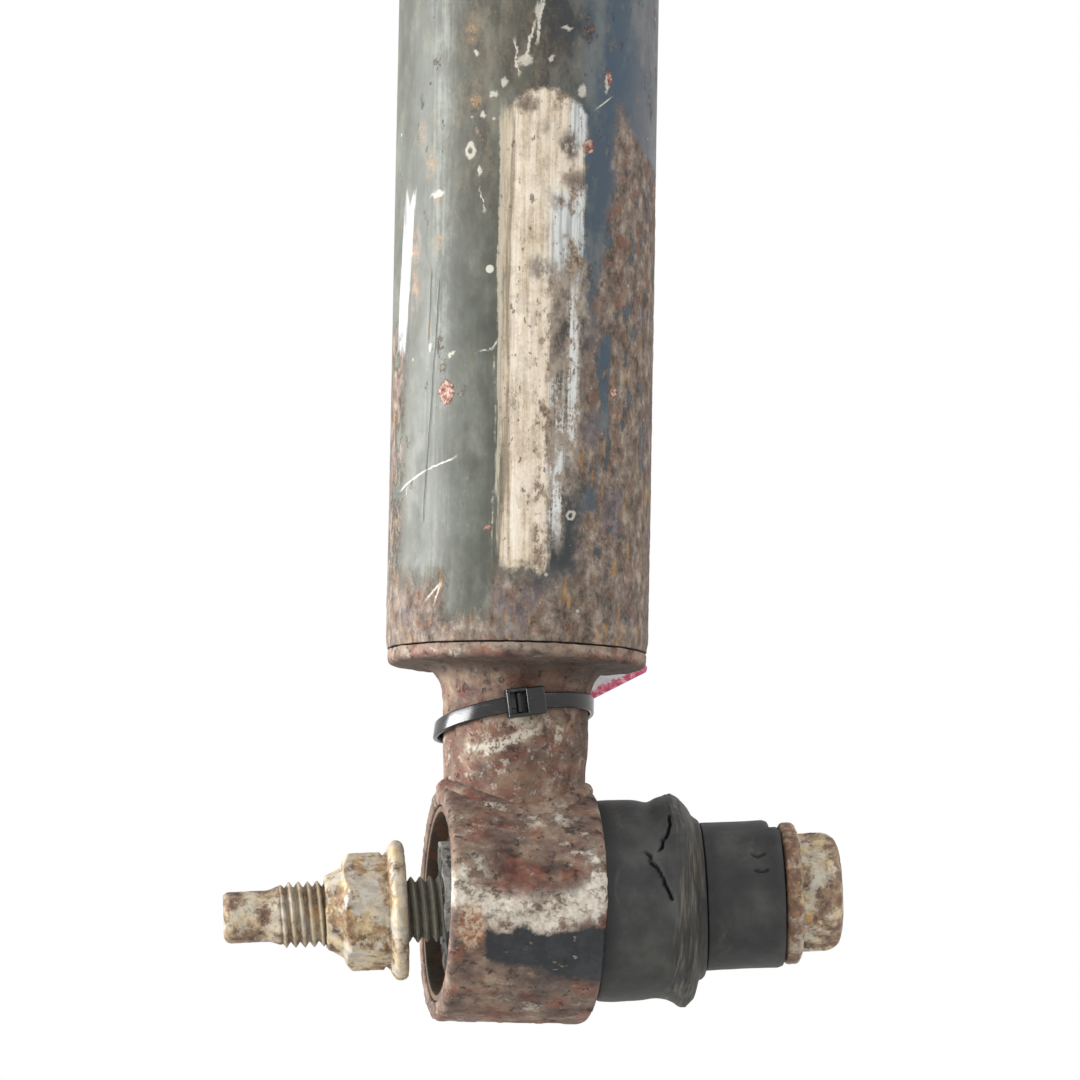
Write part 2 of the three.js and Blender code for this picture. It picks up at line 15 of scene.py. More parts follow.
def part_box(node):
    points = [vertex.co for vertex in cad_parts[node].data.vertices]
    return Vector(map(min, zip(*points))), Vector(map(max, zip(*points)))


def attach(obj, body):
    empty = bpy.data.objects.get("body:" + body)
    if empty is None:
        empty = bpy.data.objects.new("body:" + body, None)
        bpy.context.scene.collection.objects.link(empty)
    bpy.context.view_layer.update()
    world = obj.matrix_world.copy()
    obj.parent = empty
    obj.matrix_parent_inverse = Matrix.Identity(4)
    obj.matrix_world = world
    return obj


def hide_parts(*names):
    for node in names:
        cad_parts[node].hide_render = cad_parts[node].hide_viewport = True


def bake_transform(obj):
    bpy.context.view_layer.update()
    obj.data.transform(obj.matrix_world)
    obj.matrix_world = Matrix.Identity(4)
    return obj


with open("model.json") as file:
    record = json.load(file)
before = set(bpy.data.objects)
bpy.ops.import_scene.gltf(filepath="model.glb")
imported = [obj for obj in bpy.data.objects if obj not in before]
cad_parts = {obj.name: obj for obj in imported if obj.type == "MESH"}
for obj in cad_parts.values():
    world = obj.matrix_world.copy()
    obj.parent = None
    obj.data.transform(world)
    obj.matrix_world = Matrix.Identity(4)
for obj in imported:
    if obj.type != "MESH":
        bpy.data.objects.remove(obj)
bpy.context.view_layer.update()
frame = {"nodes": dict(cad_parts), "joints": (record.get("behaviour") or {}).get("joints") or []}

MM = 0.001
TURN = 2 * math.pi
NO_LIMIT = 99.0


# ------------------------------------------------------------------ camera, light and floor

VIEW_TURN = math.radians(-9.4)
VIEW_RISE = math.radians(-5.7)
VIEW_LEAN = math.radians(1.05)
VIEW_DISTANCE = 1.5
VIEW_HEIGHT = 0.0783
VIEW_SIDE = 0.0045
SENSOR = 36
LENS = 233.5
FLOOR_Z = -0.1


def add_camera():
    data = bpy.data.cameras.new("camera")
    data.sensor_width = SENSOR
    data.lens = LENS
    data.clip_end = 50
    camera = bpy.data.objects.new("camera", data)
    bpy.context.scene.collection.objects.link(camera)
    back = Vector((
        math.sin(VIEW_TURN) * math.cos(VIEW_RISE),
        -math.cos(VIEW_TURN) * math.cos(VIEW_RISE),
        math.sin(VIEW_RISE),
    ))
    right = Vector((math.cos(VIEW_TURN), math.sin(VIEW_TURN), 0))
    up = back.cross(right)
    tilted_right = right * math.cos(VIEW_LEAN) + up * math.sin(VIEW_LEAN)
    tilted_up = up * math.cos(VIEW_LEAN) - right * math.sin(VIEW_LEAN)
    target = Vector((0, 0, VIEW_HEIGHT)) + right * VIEW_SIDE
    turn = Matrix((tilted_right, tilted_up, back)).transposed().to_4x4()
    camera.matrix_world = Matrix.Translation(target + back * VIEW_DISTANCE) @ turn
    bpy.context.scene.camera = camera


def add_area_light(name, place, size, power, colour=(1, 1, 1), aim=(0, 0, 0.1)):
    data = bpy.data.lights.new(name, "AREA")
    data.shape = "RECTANGLE"
    data.size, data.size_y = size
    data.energy = power
    data.color = colour
    light = bpy.data.objects.new(name, data)
    light.location = place
    light.rotation_euler = (Vector(aim) - Vector(place)).to_track_quat("-Z", "Y").to_euler()
    bpy.context.scene.collection.objects.link(light)


def add_studio():
    world = bpy.data.worlds.new("studio")
    bpy.context.scene.world = world
    world.use_nodes = True
    tree = world.node_tree
    tree.nodes.clear()
    seen = tree.nodes.new("ShaderNodeBackground")
    seen.inputs["Strength"].default_value = 1.0
    seen.inputs["Color"].default_value = (1, 1, 1, 1)
    lit = tree.nodes.new("ShaderNodeBackground")
    lit.inputs["Strength"].default_value = 0.9
    lit.inputs["Color"].default_value = (1, 0.985, 0.965, 1)
    rays = tree.nodes.new("ShaderNodeLightPath")
    mix = tree.nodes.new("ShaderNodeMixShader")
    out = tree.nodes.new("ShaderNodeOutputWorld")
    tree.links.new(rays.outputs["Is Camera Ray"], mix.inputs[0])
    tree.links.new(lit.outputs[0], mix.inputs[1])
    tree.links.new(seen.outputs[0], mix.inputs[2])
    tree.links.new(mix.outputs[0], out.inputs["Surface"])
    add_area_light("key", (-1.13, 0.16, 0.1), (0.9, 0.42), 21)
    add_area_light("fill", (0.9, -1.2, 0.9), (0.8, 0.8), 4, (0.93, 0.96, 1))
    scene = bpy.context.scene
    scene.view_settings.view_transform = "Standard"
    scene.view_settings.look = "None"


# ------------------------------------------------------------------ numbers from the frame

def box_mm(node):
    low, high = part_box(node)
    return np.array(low) * 1000, np.array(high) * 1000


def joint_axis(name):
    return next(Vector(j["axis"]) for j in frame["joints"] if j["name"] == name)


def bolt_frame():
    """The placing of the lower bolt's own axes: X towards its head, through the eye's centre."""
    along = -joint_axis("bolt_turn").normalized()
    yaw = math.atan2(along.y, along.x)
    pitch = -math.asin(along.z)
    return Matrix.Rotation(yaw, 4, "Z") @ Matrix.Rotation(pitch, 4, "Y")


BOLT_PLACE = bolt_frame()


def span_mm(node, place=Matrix.Identity(4), axis=0):
    """Lowest and highest place along an axis, and the largest radius about it."""
    to_local = np.array(place.inverted())[:3, :3]
    spots = np.array([v.co for v in frame["nodes"][node].data.vertices]) @ to_local.T * 1000
    others = [i for i in range(3) if i != axis]
    return spots[:, axis].min(), spots[:, axis].max(), np.hypot(*spots[:, others].T).max()


TUBE_LOW, TUBE_HIGH, TUBE_R = span_mm("outer_tube", axis=2)
_, EYE_HALF, EYE_R = span_mm("eye_ring")
BASE_RIM_R = span_mm("base_forging", axis=2)[2]


# ------------------------------------------------------------------ noise for shapes

LATTICE = np.random.default_rng(7).random((32, 32, 32))


def ripple(points, size, octaves=3, seed=0):
    """Smooth noise from about -1 to 1 at each point. size is its largest feature."""
    total = np.zeros(len(points))
    reach = 0
    for octave in range(octaves):
        weight = 0.5 ** octave
        scaled = points / size * 2 ** octave + seed * 7.31 + octave * 3.17
        cell = np.floor(scaled).astype(int)
        part = scaled - cell
        part = part * part * (3 - 2 * part)
        for corner in np.ndindex(2, 2, 2):
            pick = (cell + corner) % 32
            share = np.where(corner, part, 1 - part).prod(axis=1)
            total += weight * share * LATTICE[pick[:, 0], pick[:, 1], pick[:, 2]]
        reach += weight
    return total / reach * 2 - 1


def smooth(value, start, end):
    """0 before start, 1 after end, smooth in between. start may be the larger one."""
    share = np.clip((value - start) / (end - start), 0, 1)
    return share * share * (3 - 2 * share)


# ------------------------------------------------------------------ mesh building

def rounded(corners, step, closed=True):
    """A line through corners of (radius, height, rounding), cut into pieces no longer than step.
    step may be a function of radius and height."""
    gap = step if callable(step) else lambda radius, height: step
    spots = [np.array(c[:2], float) for c in corners]
    bends = [c[2] if len(c) > 2 else 0 for c in corners]
    count = len(corners)
    line = []
    last_end = None
    first_start = None
    for i in range(count):
        here = spots[i]
        before, after = spots[i - 1], spots[(i + 1) % count]
        at_end = not closed and i in (0, count - 1)
        if bends[i] and not at_end:
            back, on = before - here, after - here
            reach = min(bends[i], np.linalg.norm(back) / 2.02, np.linalg.norm(on) / 2.02)
            start = here + back / np.linalg.norm(back) * reach
            end = here + on / np.linalg.norm(on) * reach
            shares = np.linspace(0, 1, 7)[:, None]
            curve = (1 - shares) ** 2 * start + 2 * shares * (1 - shares) * here + shares ** 2 * end
        else:
            curve = here[None]
        if last_end is not None:
            line.extend(stretch(last_end, curve[0], gap))
        else:
            first_start = curve[0]
        line.extend(curve)
        last_end = curve[-1]
    if closed:
        line.extend(stretch(last_end, first_start, gap))
    return np.array(line)


def stretch(start, end, gap):
    """The points between two corners, without the corners."""
    middle = (start + end) / 2
    pieces = max(1, math.ceil(np.linalg.norm(end - start) / gap(*middle)))
    return [start + (end - start) * i / pieces for i in range(1, pieces)]


def grid_faces(rows, columns, closed_rows):
    row = np.arange(rows if closed_rows else rows - 1)[:, None]
    column = np.arange(columns)[None]
    above, beside = (row + 1) % rows, (column + 1) % columns
    quads = np.stack([
        row * columns + column, row * columns + beside,
        above * columns + beside, above * columns + column,
    ], axis=-1)
    return quads.reshape(-1, 4).tolist()


def turned(line, sides, along="Z", shape=None, closed=True):
    """Points and faces of a line of (radius, height) turned about an axis.
    shape changes the radius and the height at each angle."""
    angle = np.broadcast_to(np.arange(sides) * TURN / sides, (len(line), sides))
    radius = np.repeat(line[:, :1], sides, axis=1)
    height = np.repeat(line[:, 1:2], sides, axis=1)
    if shape:
        radius, height = shape(radius, height, angle)
    if along == "Z":
        grid = [radius * np.sin(angle), -radius * np.cos(angle), height]
    else:
        grid = [height, -radius * np.cos(angle), radius * np.sin(angle)]
    points = np.stack(grid, axis=-1).reshape(-1, 3)
    faces = grid_faces(len(line), sides, closed)
    if not closed:
        for first in (0, (len(line) - 1) * sides):
            centre = len(points)
            points = np.vstack([points, points[first:first + sides].mean(axis=0)])
            faces += [[first + i, first + (i + 1) % sides, centre] for i in range(sides)]
    return points, faces


def combined(*shapes):
    """Several (points, faces) as one."""
    points, faces = [], []
    for some_points, some_faces in shapes:
        start = sum(len(p) for p in points)
        points.append(some_points)
        faces += [[start + i for i in face] for face in some_faces]
    return np.vstack(points), faces


def thread(start, end, radius, pitch, along="X", sides=96, rows=14):
    """A right-hand thread whose crest follows the grid's own helix.
    It dips into its core at both ends."""
    count = int((end - start) / pitch * rows) + rows + 1
    row = np.arange(count)[:, None]
    angle = np.broadcast_to(np.arange(sides) * TURN / sides, (count, sides))
    height = start - pitch + pitch / rows * row + pitch * angle / TURN
    phase = row % rows / rows
    depth = 0.58 * pitch
    crest = np.clip(1.12 - np.abs(phase * 2 - 1) * 1.25, 0, 1)
    profile = radius - depth * (1 - crest)
    run_in = np.clip(np.minimum(height - start, end - height) / (0.8 * pitch), 0, 1)
    core = radius - depth - 0.3
    reach = core + (np.broadcast_to(profile, height.shape) - core) * run_in ** 0.5
    height = np.clip(height, start, end)
    if along == "X":
        grid = [height, -reach * np.cos(-angle), reach * np.sin(-angle)]
    else:
        grid = [reach * np.sin(angle), -reach * np.cos(angle), height]
    points = np.stack(grid, axis=-1).reshape(-1, 3)
    faces = []
    for i in range(count - 1):
        for j in range(sides):
            if j < sides - 1:
                faces.append([i * sides + j, i * sides + j + 1, (i + 1) * sides + j + 1, (i + 1) * sides + j])
            elif i + rows + 1 < count:
                low, high = (i + rows) * sides, (i + rows + 1) * sides
                faces.append([i * sides + j, low, high, (i + 1) * sides + j])
    return points, faces


def hex_radius(angle, across, turn):
    """The radius of a hexagon across its flats, with a corner at turn degrees."""
    from_flat = (angle - math.radians(turn)) % (TURN / 6) - TURN / 12
    return across / 2 / np.cos(from_flat)


def soft_least(first, second, softness=0.1):
    """The smaller of two numbers, with the crossing rounded off."""
    gap = (first - second) / softness
    return np.minimum(first, second) - softness * np.log1p(np.exp(-np.abs(gap)))


def block(size, centre, bevel=0.3):
    """A box with bevelled edges, as points and faces."""
    work = bmesh.new()
    bmesh.ops.create_cube(work, size=1)
    bmesh.ops.scale(work, vec=size, verts=work.verts)
    bmesh.ops.translate(work, vec=centre, verts=work.verts)
    bmesh.ops.bevel(work, geom=work.edges[:], offset=bevel, segments=3, affect="EDGES", profile=0.6)
    points = np.array([v.co for v in work.verts])
    work.verts.index_update()
    faces = [[v.index for v in face.verts] for face in work.faces]
    work.free()
    return points, faces


def piece(name, shape, finish, slot, node=None, place=Matrix.Identity(4), relief=None,
          marks=None, merge=False):
    """A mesh object from points and faces in millimetres, in place of a CAD node.
    relief gives how far each point moves out along its normal; marks are named numbers at each
    point; merge joins points that meet."""
    points, faces = shape
    mesh = bpy.data.meshes.new(name)
    mesh.from_pydata((points * MM).tolist(), [], faces)
    for key, values in (marks or {}).items():
        mesh.attributes.new(key, "FLOAT", "POINT").data.foreach_set("value", values.astype(np.float32))
    work = bmesh.new()
    work.from_mesh(mesh)
    if merge:
        bmesh.ops.remove_doubles(work, verts=work.verts, dist=2e-6)
        bmesh.ops.dissolve_degenerate(work, edges=work.edges, dist=1e-7)
    bmesh.ops.recalc_face_normals(work, faces=work.faces)
    work.to_mesh(mesh)
    work.free()
    mesh.shade_smooth()
    if relief:
        spots = np.zeros(len(mesh.vertices) * 3)
        mesh.vertices.foreach_get("co", spots)
        normals = np.zeros(len(mesh.vertices) * 3)
        mesh.vertex_normals.foreach_get("vector", normals)
        spots = spots.reshape(-1, 3)
        moved = spots + normals.reshape(-1, 3) * relief(spots * 1000)[:, None] * MM
        mesh.vertices.foreach_set("co", moved.ravel())
    mesh.materials.append(finish)
    mesh.update()
    made = bpy.data.objects.new(name, mesh)
    bpy.context.scene.collection.objects.link(made)
    made.matrix_world = place
    if node:
        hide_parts(node)
    return made


def fitted(body, *args, **more):
    """A piece, as above, that rides on a body."""
    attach(piece(*args, **more), body)


# ------------------------------------------------------------------ procedural finishes

def linear(code):
    """A colour from six hex digits of sRGB."""
    parts = [int(code[i:i + 2], 16) / 255 for i in (0, 2, 4)]
    return (*[p / 12.92 if p <= 0.04045 else ((p + 0.055) / 1.055) ** 2.4 for p in parts], 1.0)


class Field:
    """A number that varies over a surface. Arithmetic on it adds nodes to its material."""

    def __init__(self, tree, socket):
        self.tree = tree
        self.socket = socket

    def math(self, operation, *others):
        node = self.tree.nodes.new("ShaderNodeMath")
        node.operation = operation
        for socket, value in zip(node.inputs, (self, *others)):
            feed(self.tree, socket, value)
        return Field(self.tree, node.outputs[0])

    def __add__(self, other):
        return self.math("ADD", other)

    def __sub__(self, other):
        return self.math("SUBTRACT", other)

    def __mul__(self, other):
        return self.math("MULTIPLY", other)

    def __truediv__(self, other):
        return self.math("DIVIDE", other)

    def __or__(self, other):
        """Either of two masks."""
        return self.math("MAXIMUM", other)

    def __and__(self, other):
        """Both of two masks."""
        return self.math("MULTIPLY", other)

    def __invert__(self):
        """The rest of a mask."""
        return (self * -1) + 1

    def ramp(self, start, end):
        """0 at start, 1 at end, smooth in between. start may be the larger one."""
        node = self.tree.nodes.new("ShaderNodeMapRange")
        node.interpolation_type = "SMOOTHSTEP"
        flip = start > end
        for key, value in (("Value", self), ("From Min", min(start, end)), ("From Max", max(start, end))):
            feed(self.tree, node.inputs[key], value)
        share = Field(self.tree, node.outputs[0])
        return ~share if flip else share


def feed(tree, socket, value):
    if isinstance(value, Field):
        value = value.socket
    if isinstance(value, bpy.types.NodeSocket):
        tree.links.new(value, socket)
    elif isinstance(value, str):
        socket.default_value = linear(value)
    else:
        socket.default_value = value


class Finish:
    """One procedural material. Its lengths are millimetres in the row's frame."""

    def __init__(self, name, metallic=0.0, specular=0.5):
        self.material = bpy.data.materials.new(name)
        self.material.use_nodes = True
        self.tree = self.material.node_tree
        self.tree.nodes.clear()
        self.out = self.tree.nodes.new("ShaderNodeOutputMaterial")
        self.shader = self.tree.nodes.new("ShaderNodeBsdfPrincipled")
        self.tree.links.new(self.shader.outputs[0], self.out.inputs["Surface"])
        self.shader.inputs["Metallic"].default_value = metallic
        self.shader.inputs["Specular IOR Level"].default_value = specular
        coordinates = self.tree.nodes.new("ShaderNodeTexCoord")
        self.place = self.vector("MULTIPLY", coordinates.outputs["Object"], (1000, 1000, 1000))
        split = self.tree.nodes.new("ShaderNodeSeparateXYZ")
        self.tree.links.new(self.place, split.inputs[0])
        self.x, self.y, self.z = (Field(self.tree, output) for output in split.outputs)

    def vector(self, operation, first, second):
        node = self.tree.nodes.new("ShaderNodeVectorMath")
        node.operation = operation
        feed(self.tree, node.inputs[0], first)
        feed(self.tree, node.inputs[1], second)
        return node.outputs[0]

    def spread(self, stretch=(1, 1, 1), seed=0):
        """Where a pattern is read: the place, pulled long by stretch, moved by seed."""
        scaled = self.vector("MULTIPLY", self.place, tuple(1 / s for s in stretch))
        return self.vector("ADD", scaled, (seed * 13.7, seed * -7.9, seed * 5.3))

    def noise(self, size, stretch=(1, 1, 1), detail=4, rough=0.55, twist=0, seed=0):
        """Cloudy noise from about 0.3 to 0.7. size is its largest feature in millimetres."""
        node = self.tree.nodes.new("ShaderNodeTexNoise")
        feed(self.tree, node.inputs["Vector"], self.spread(stretch, seed))
        for key, value in (("Scale", 1 / size), ("Detail", detail), ("Roughness", rough),
                           ("Distortion", twist)):
            feed(self.tree, node.inputs[key], value)
        return Field(self.tree, node.outputs[0])

    def cells(self, size, seed=0):
        """Distance from scattered points about size millimetres apart."""
        node = self.tree.nodes.new("ShaderNodeTexVoronoi")
        feed(self.tree, node.inputs["Vector"], self.spread(seed=seed))
        feed(self.tree, node.inputs["Scale"], 1 / size)
        return Field(self.tree, node.outputs["Distance"])

    def attribute(self, name):
        node = self.tree.nodes.new("ShaderNodeAttribute")
        node.attribute_name = name
        return Field(self.tree, node.outputs["Fac"])

    def blend(self, share, first, second):
        """first where share is 0, second where it is 1. Both are colours."""
        node = self.tree.nodes.new("ShaderNodeMix")
        node.data_type = "RGBA"
        feed(self.tree, node.inputs[0], share)
        feed(self.tree, node.inputs[6], first)
        feed(self.tree, node.inputs[7], second)
        return node.outputs[2]

    def level(self, share, first, second):
        """A number that goes from first to second as share goes from 0 to 1."""
        node = self.tree.nodes.new("ShaderNodeMix")
        feed(self.tree, node.inputs[0], share)
        feed(self.tree, node.inputs[2], first)
        feed(self.tree, node.inputs[3], second)
        return Field(self.tree, node.outputs[0])

    def shades(self, value, *stops):
        """Colours along a number, as (place, colour) stops."""
        node = self.tree.nodes.new("ShaderNodeValToRGB")
        feed(self.tree, node.inputs[0], value)
        ramp = node.color_ramp
        ends = (ramp.elements[0], stops[0]), (ramp.elements[1], stops[-1])
        for element, (place, colour) in ends:
            element.position = place
            element.color = linear(colour)
        for place, colour in stops[1:-1]:
            ramp.elements.new(place).color = linear(colour)
        return node.outputs[0]

    def unrolled(self, radius):
        """Distance round the damper from the front, towards +X."""
        return self.x.math("ARCTAN2", self.y * -1) * radius

    def spot(self, s, z, at, size):
        """Distance from a spot, 1 at its rim."""
        across = (s - at[0]) / size[0]
        up = (z - at[1]) / size[1]
        return (across * across + up * up).math("SQRT")

    def stroke(self, s, z, start, end, width):
        """1 along a thin line between two points of the unrolled surface."""
        run, rise = end[0] - start[0], end[1] - start[1]
        length = math.hypot(run, rise)
        along = ((s - start[0]) * (run / length) + (z - start[1]) * (rise / length))
        past = (along - length / 2).math("ABSOLUTE") - length / 2
        off = ((s - start[0]) * (rise / length) - (z - start[1]) * (run / length)).math("ABSOLUTE")
        thin = off.ramp(width, width * 0.45)
        return thin & past.ramp(0.8, -1.5)

    def finish(self, colour, roughness, height=None, depth=0.1):
        """Wires the shader. height is in units of depth millimetres."""
        feed(self.tree, self.shader.inputs["Base Color"], colour)
        feed(self.tree, self.shader.inputs["Roughness"], roughness)
        if height is not None:
            bump = self.tree.nodes.new("ShaderNodeBump")
            bump.inputs["Distance"].default_value = depth * MM
            feed(self.tree, bump.inputs["Height"], height)
            self.tree.links.new(bump.outputs[0], self.shader.inputs["Normal"])
        return self.material


def window(value, low, high, fade):
    """1 between low and high, with edges that fade."""
    return value.ramp(low - fade / 2, low + fade / 2) & value.ramp(high + fade / 2, high - fade / 2)


# The worn front of the tube: places are (distance round from the front, height) in millimetres.
SCRAPE_LEFT, SCRAPE_RIGHT = -9.2, 8.6
SCRAPE_CORE_RIGHT = -1.2
SCRAPE_LOW, SCRAPE_TOP = 69.5, 172
SCRAPE_STEP = 131
RUST_BAND_TOP = 67


def tube_paint():
    f = Finish("tube_paint", specular=0.4)
    s, z = f.unrolled(TUBE_R), f.z
    wave = f.noise(8, detail=4, seed=1) - 0.5
    tear = f.noise(1.9, detail=6, rough=0.7, seed=2) - 0.5
    crumb = f.noise(0.7, detail=5, rough=0.7, seed=23)
    streaks = f.noise(1.1, stretch=(1, 1, 20), detail=5, rough=0.65, seed=3)
    cloud = f.noise(18, stretch=(1, 1, 1.7), detail=7, rough=0.62, twist=0.1, seed=4)
    blotch = f.noise(5, stretch=(1, 1, 1.4), detail=8, rough=0.68, twist=0.1, seed=24)
    grain_s = f.noise(2.4, stretch=(1, 1, 2.5), detail=7, rough=0.66, seed=27)
    torn_s = s + wave * 4 + tear * 4
    torn_z = z + wave * 9 + tear * 8
    near_s = s + tear * 1.8
    near_z = z + tear * 2.2
    back = s.math("ABSOLUTE").ramp(40, 56)

    # old paint: grey-green at the front left, near black and then blue towards the right, then a paler grey
    # at the right edge that is a painted reflection of the bright surroundings
    mottle = cloud * 0.5 + blotch * 0.4 + streaks * 0.1
    green = f.shades(mottle, (0.36, "44453e"), (0.48, "54574f"), (0.56, "63665e"), (0.66, "7c8077"))
    side = f.shades((torn_s + 10) / 40, (0, "50504a"), (0.2, "42423f"), (0.27, "303336"), (0.42, "2e3235"),
                    (0.48, "3c4b58"), (0.72, "415160"), (0.92, "5c6067"))
    colour = f.blend(torn_s.ramp(-6, 0) & s.ramp(52, 40), green, side)
    smoke = torn_z.ramp(128, 160) & window(torn_s, -21, 2, 7) & blotch.ramp(0.36, 0.54)
    sooty = f.blend((grain_s * 0.7 + crumb * 0.3).ramp(0.42, 0.6), "453f37", "6f6656")
    colour = f.blend(smoke * 0.7, colour, sooty)
    # a pale smear down the left of the front, which also serves as a painted highlight band
    smear_and_highlight = window(torn_s, -27, -21.5, 5) & (blotch * 0.6 + streaks * 0.4).ramp(0.44, 0.6)
    colour = f.blend(smear_and_highlight * 0.5, colour, "9ea39b")
    stain = f.noise(3.2, stretch=(1, 1, 1.6), detail=7, rough=0.68, seed=26).ramp(0.57, 0.68)
    colour = f.blend(stain * (torn_z.ramp(120, 170) * 0.35 + 0.25), colour, "7a6a51")
    dust = f.noise(9, stretch=(1, 1, 2), detail=7, rough=0.64, seed=5).ramp(0.5, 0.68)
    colour = f.blend(dust * 0.35, colour, "8c8b80")
    salt = crumb.ramp(0.63, 0.69) & blotch.ramp(0.48, 0.6)
    colour = f.blend(salt * 0.4, colour, "b9b6aa")
    rough = f.level(blotch.ramp(0.35, 0.65), 0.4, 0.62)

    # bare and stained metal beside the lower half of the scrape
    grime = f.noise(3.6, stretch=(1, 1, 1.6), detail=8, rough=0.7, seed=6)
    ground = window(torn_s, 0.5, 10, 2.5) & window(torn_z, 84, 134, 7)
    colour = f.blend(ground * blotch.ramp(0.3, 0.42) * 0.9, colour,
                     f.shades(grime, (0.38, "453e3a"), (0.48, "776b60"), (0.6, "a4988a")))

    # scrape down to pale primer, scored along the tube
    arch = (s + 0.3) / 9
    top = (arch * arch * -5) + SCRAPE_TOP
    ragged = tear * 2.2 + (crumb - 0.5) * 1.2
    score_s = s + (streaks - 0.5) * 3 + ragged * 0.7 + wave * 1.6
    upper = window(score_s, SCRAPE_LEFT, SCRAPE_RIGHT, 1.1) & (top - z + ragged * 1.4).ramp(-0.4, 1.2)
    upper = upper & torn_z.ramp(SCRAPE_STEP - 3, SCRAPE_STEP + 3)
    lower = window(score_s, SCRAPE_LEFT + 0.3, 1.6, 1.4) & window(torn_z, SCRAPE_LOW, SCRAPE_STEP + 6, 3)
    strips = window(score_s + wave, 1.4, 4.8, 1.6) & window(torn_z, 76, 112, 10)
    strips = strips | (window(score_s + wave, 5.3, 7.8, 1.4) & window(torn_z, 94, 129, 10))
    strips = strips & (crumb * 0.3 + streaks * 0.4 + blotch * 0.3).ramp(0.42, 0.52)
    scrape = upper | lower | strips
    cream = f.shades(streaks * 0.5 + crumb * 0.2 + blotch * 0.3, (0.36, "97846d"), (0.43, "c4b39b"),
                     (0.51, "dccfbc"), (0.6, "e9dfd0"))
    edge = score_s.ramp(-5.8, -8.2)
    cream = f.blend(edge * 0.85, cream, f.blend(streaks.ramp(0.42, 0.58), "7f7463", "bdae98"))
    bluish = near_s.ramp(3.4, 6) & near_z.ramp(155, 162)
    bluish = bluish | (near_s.ramp(-0.6, 2.6) & window(torn_z, 130, 151, 5))
    bluish = bluish | strips
    cream = f.blend(bluish * 0.8, cream, f.blend(streaks.ramp(0.38, 0.55), "9aa5ab", "cfd6d8"))
    dirty = window(score_s, SCRAPE_CORE_RIGHT - 0.6, 2.6, 1.8) & torn_z.ramp(138, 126)
    dirty = dirty | (score_s.ramp(-1, 6) & torn_z.ramp(160, 150)) | (top - z).ramp(7, 1.5)
    cream = f.blend((dirty * 0.75 + 0.25) * grime.ramp(0.47, 0.58), cream,
                    f.blend(crumb.ramp(0.4, 0.6), "6d5b4c", "9c8a77"))
    speck = f.noise(1.3, stretch=(1, 1, 1.7), detail=5, rough=0.62, seed=7).ramp(0.61, 0.66)
    cream = f.blend(speck * 0.8, cream, "6a5a4c")
    smudge = f.spot(near_s + wave * 4, near_z + wave * 5, (5.4, 160), (2.1, 3.2)).ramp(1.5, 0.5)
    for place, size, share in (((-4.2, 168.4), (2.6, 1.5), 0.7), ((-1.4, 133.5), (2.6, 2.8), 0.7),
                               ((6.5, 152), (2.4, 2), 0.6), ((-0.4, 163.5), (1.4, 1.6), 0.4)):
        smudge = smudge | (f.spot(near_s + wave * 3, near_z, place, size).ramp(1.5, 0.4) * share)
    cream = f.blend(smudge * grime.ramp(0.36, 0.5), cream, "5c514a")
    colour = f.blend(scrape, colour, cream)
    rough = f.level(scrape, rough, 0.55)
    lip = window(score_s, SCRAPE_LEFT - 0.9, SCRAPE_LEFT + 0.2, 0.5) & window(torn_z, 72, 166, 8)
    colour = f.blend(lip * streaks.ramp(0.4, 0.52) * 0.7, colour, "c8bda8")
    shadow = window(score_s, SCRAPE_LEFT - 2.6, SCRAPE_LEFT - 0.9, 1.2) & window(torn_z, 76, 150, 8)
    colour = f.blend(shadow * 0.45, colour, "45443e")

    # rust: a tongue that widens down the right side, a band all round the foot, patches behind
    tongue_left = (z.ramp(92, 166) * 8.5) + 7.5
    tongue_right = (z.ramp(168, 132) * 70) + 20
    tongue = (torn_s - tongue_left).ramp(-1.5, 2) & (tongue_right - torn_s).ramp(-2, 3)
    tongue = tongue & torn_z.ramp(174, 164) & s.ramp(62, 50)
    patchy = f.noise(4.4, stretch=(1, 1, 1.7), detail=8, rough=0.7, twist=0.1, seed=9)
    kept = window(near_s + wave * 2, 12.2, 15.6, 1.8) & window(torn_z, 99, 119, 6)
    kept = kept | (window(near_s + wave * 2, 5, 12.4, 3) & window(torn_z, 80, 96, 6))
    tongue = tongue & ~(kept * patchy.ramp(0.58, 0.46))
    spared = window(torn_s, -21, -10.5, 3) & torn_z.ramp(57, 62)
    band = torn_z.ramp(RUST_BAND_TOP + 4, RUST_BAND_TOP - 3) & ~spared
    limb = torn_s.ramp(-33.5, -38) & window(torn_z, 60, 122, 8) & ~back
    behind = back & f.noise(26, stretch=(1, 1, 1.6), detail=7, rough=0.62, seed=10).ramp(0.49, 0.56)
    rust = (tongue & patchy.ramp(0.36, 0.46)) | (band & patchy.ramp(0.31, 0.42))
    rust = rust | (limb & patchy.ramp(0.42, 0.5)) | (behind & patchy.ramp(0.4, 0.48))
    sprinkle = patchy.ramp(0.6, 0.64) & (s.ramp(6, 12) | cloud.ramp(0.52, 0.6)) & s.ramp(60, 46)
    rust = rust | (sprinkle * 0.8)
    soil = f.noise(2.8, stretch=(1, 1, 1.4), detail=9, rough=0.74, seed=11)
    brown = f.shades(soil, (0.36, "4a403a"), (0.46, "6e6157"), (0.54, "84776d"), (0.64, "a6998c"))
    red = f.noise(3.6, detail=7, rough=0.62, twist=0.2, seed=12).ramp(0.52, 0.64)
    brown = f.blend(red * (torn_z.ramp(115, 145) * 0.35 + 0.5), brown, "7a5546")
    orange = f.noise(1.5, stretch=(1, 1, 5), detail=6, rough=0.62, seed=13).ramp(0.57, 0.66)
    orange = orange & torn_z.ramp(150, 105)
    brown = f.blend(orange * 0.7, brown, "a9814a")
    violet = f.noise(6, stretch=(1, 1, 2), detail=6, seed=25).ramp(0.56, 0.66)
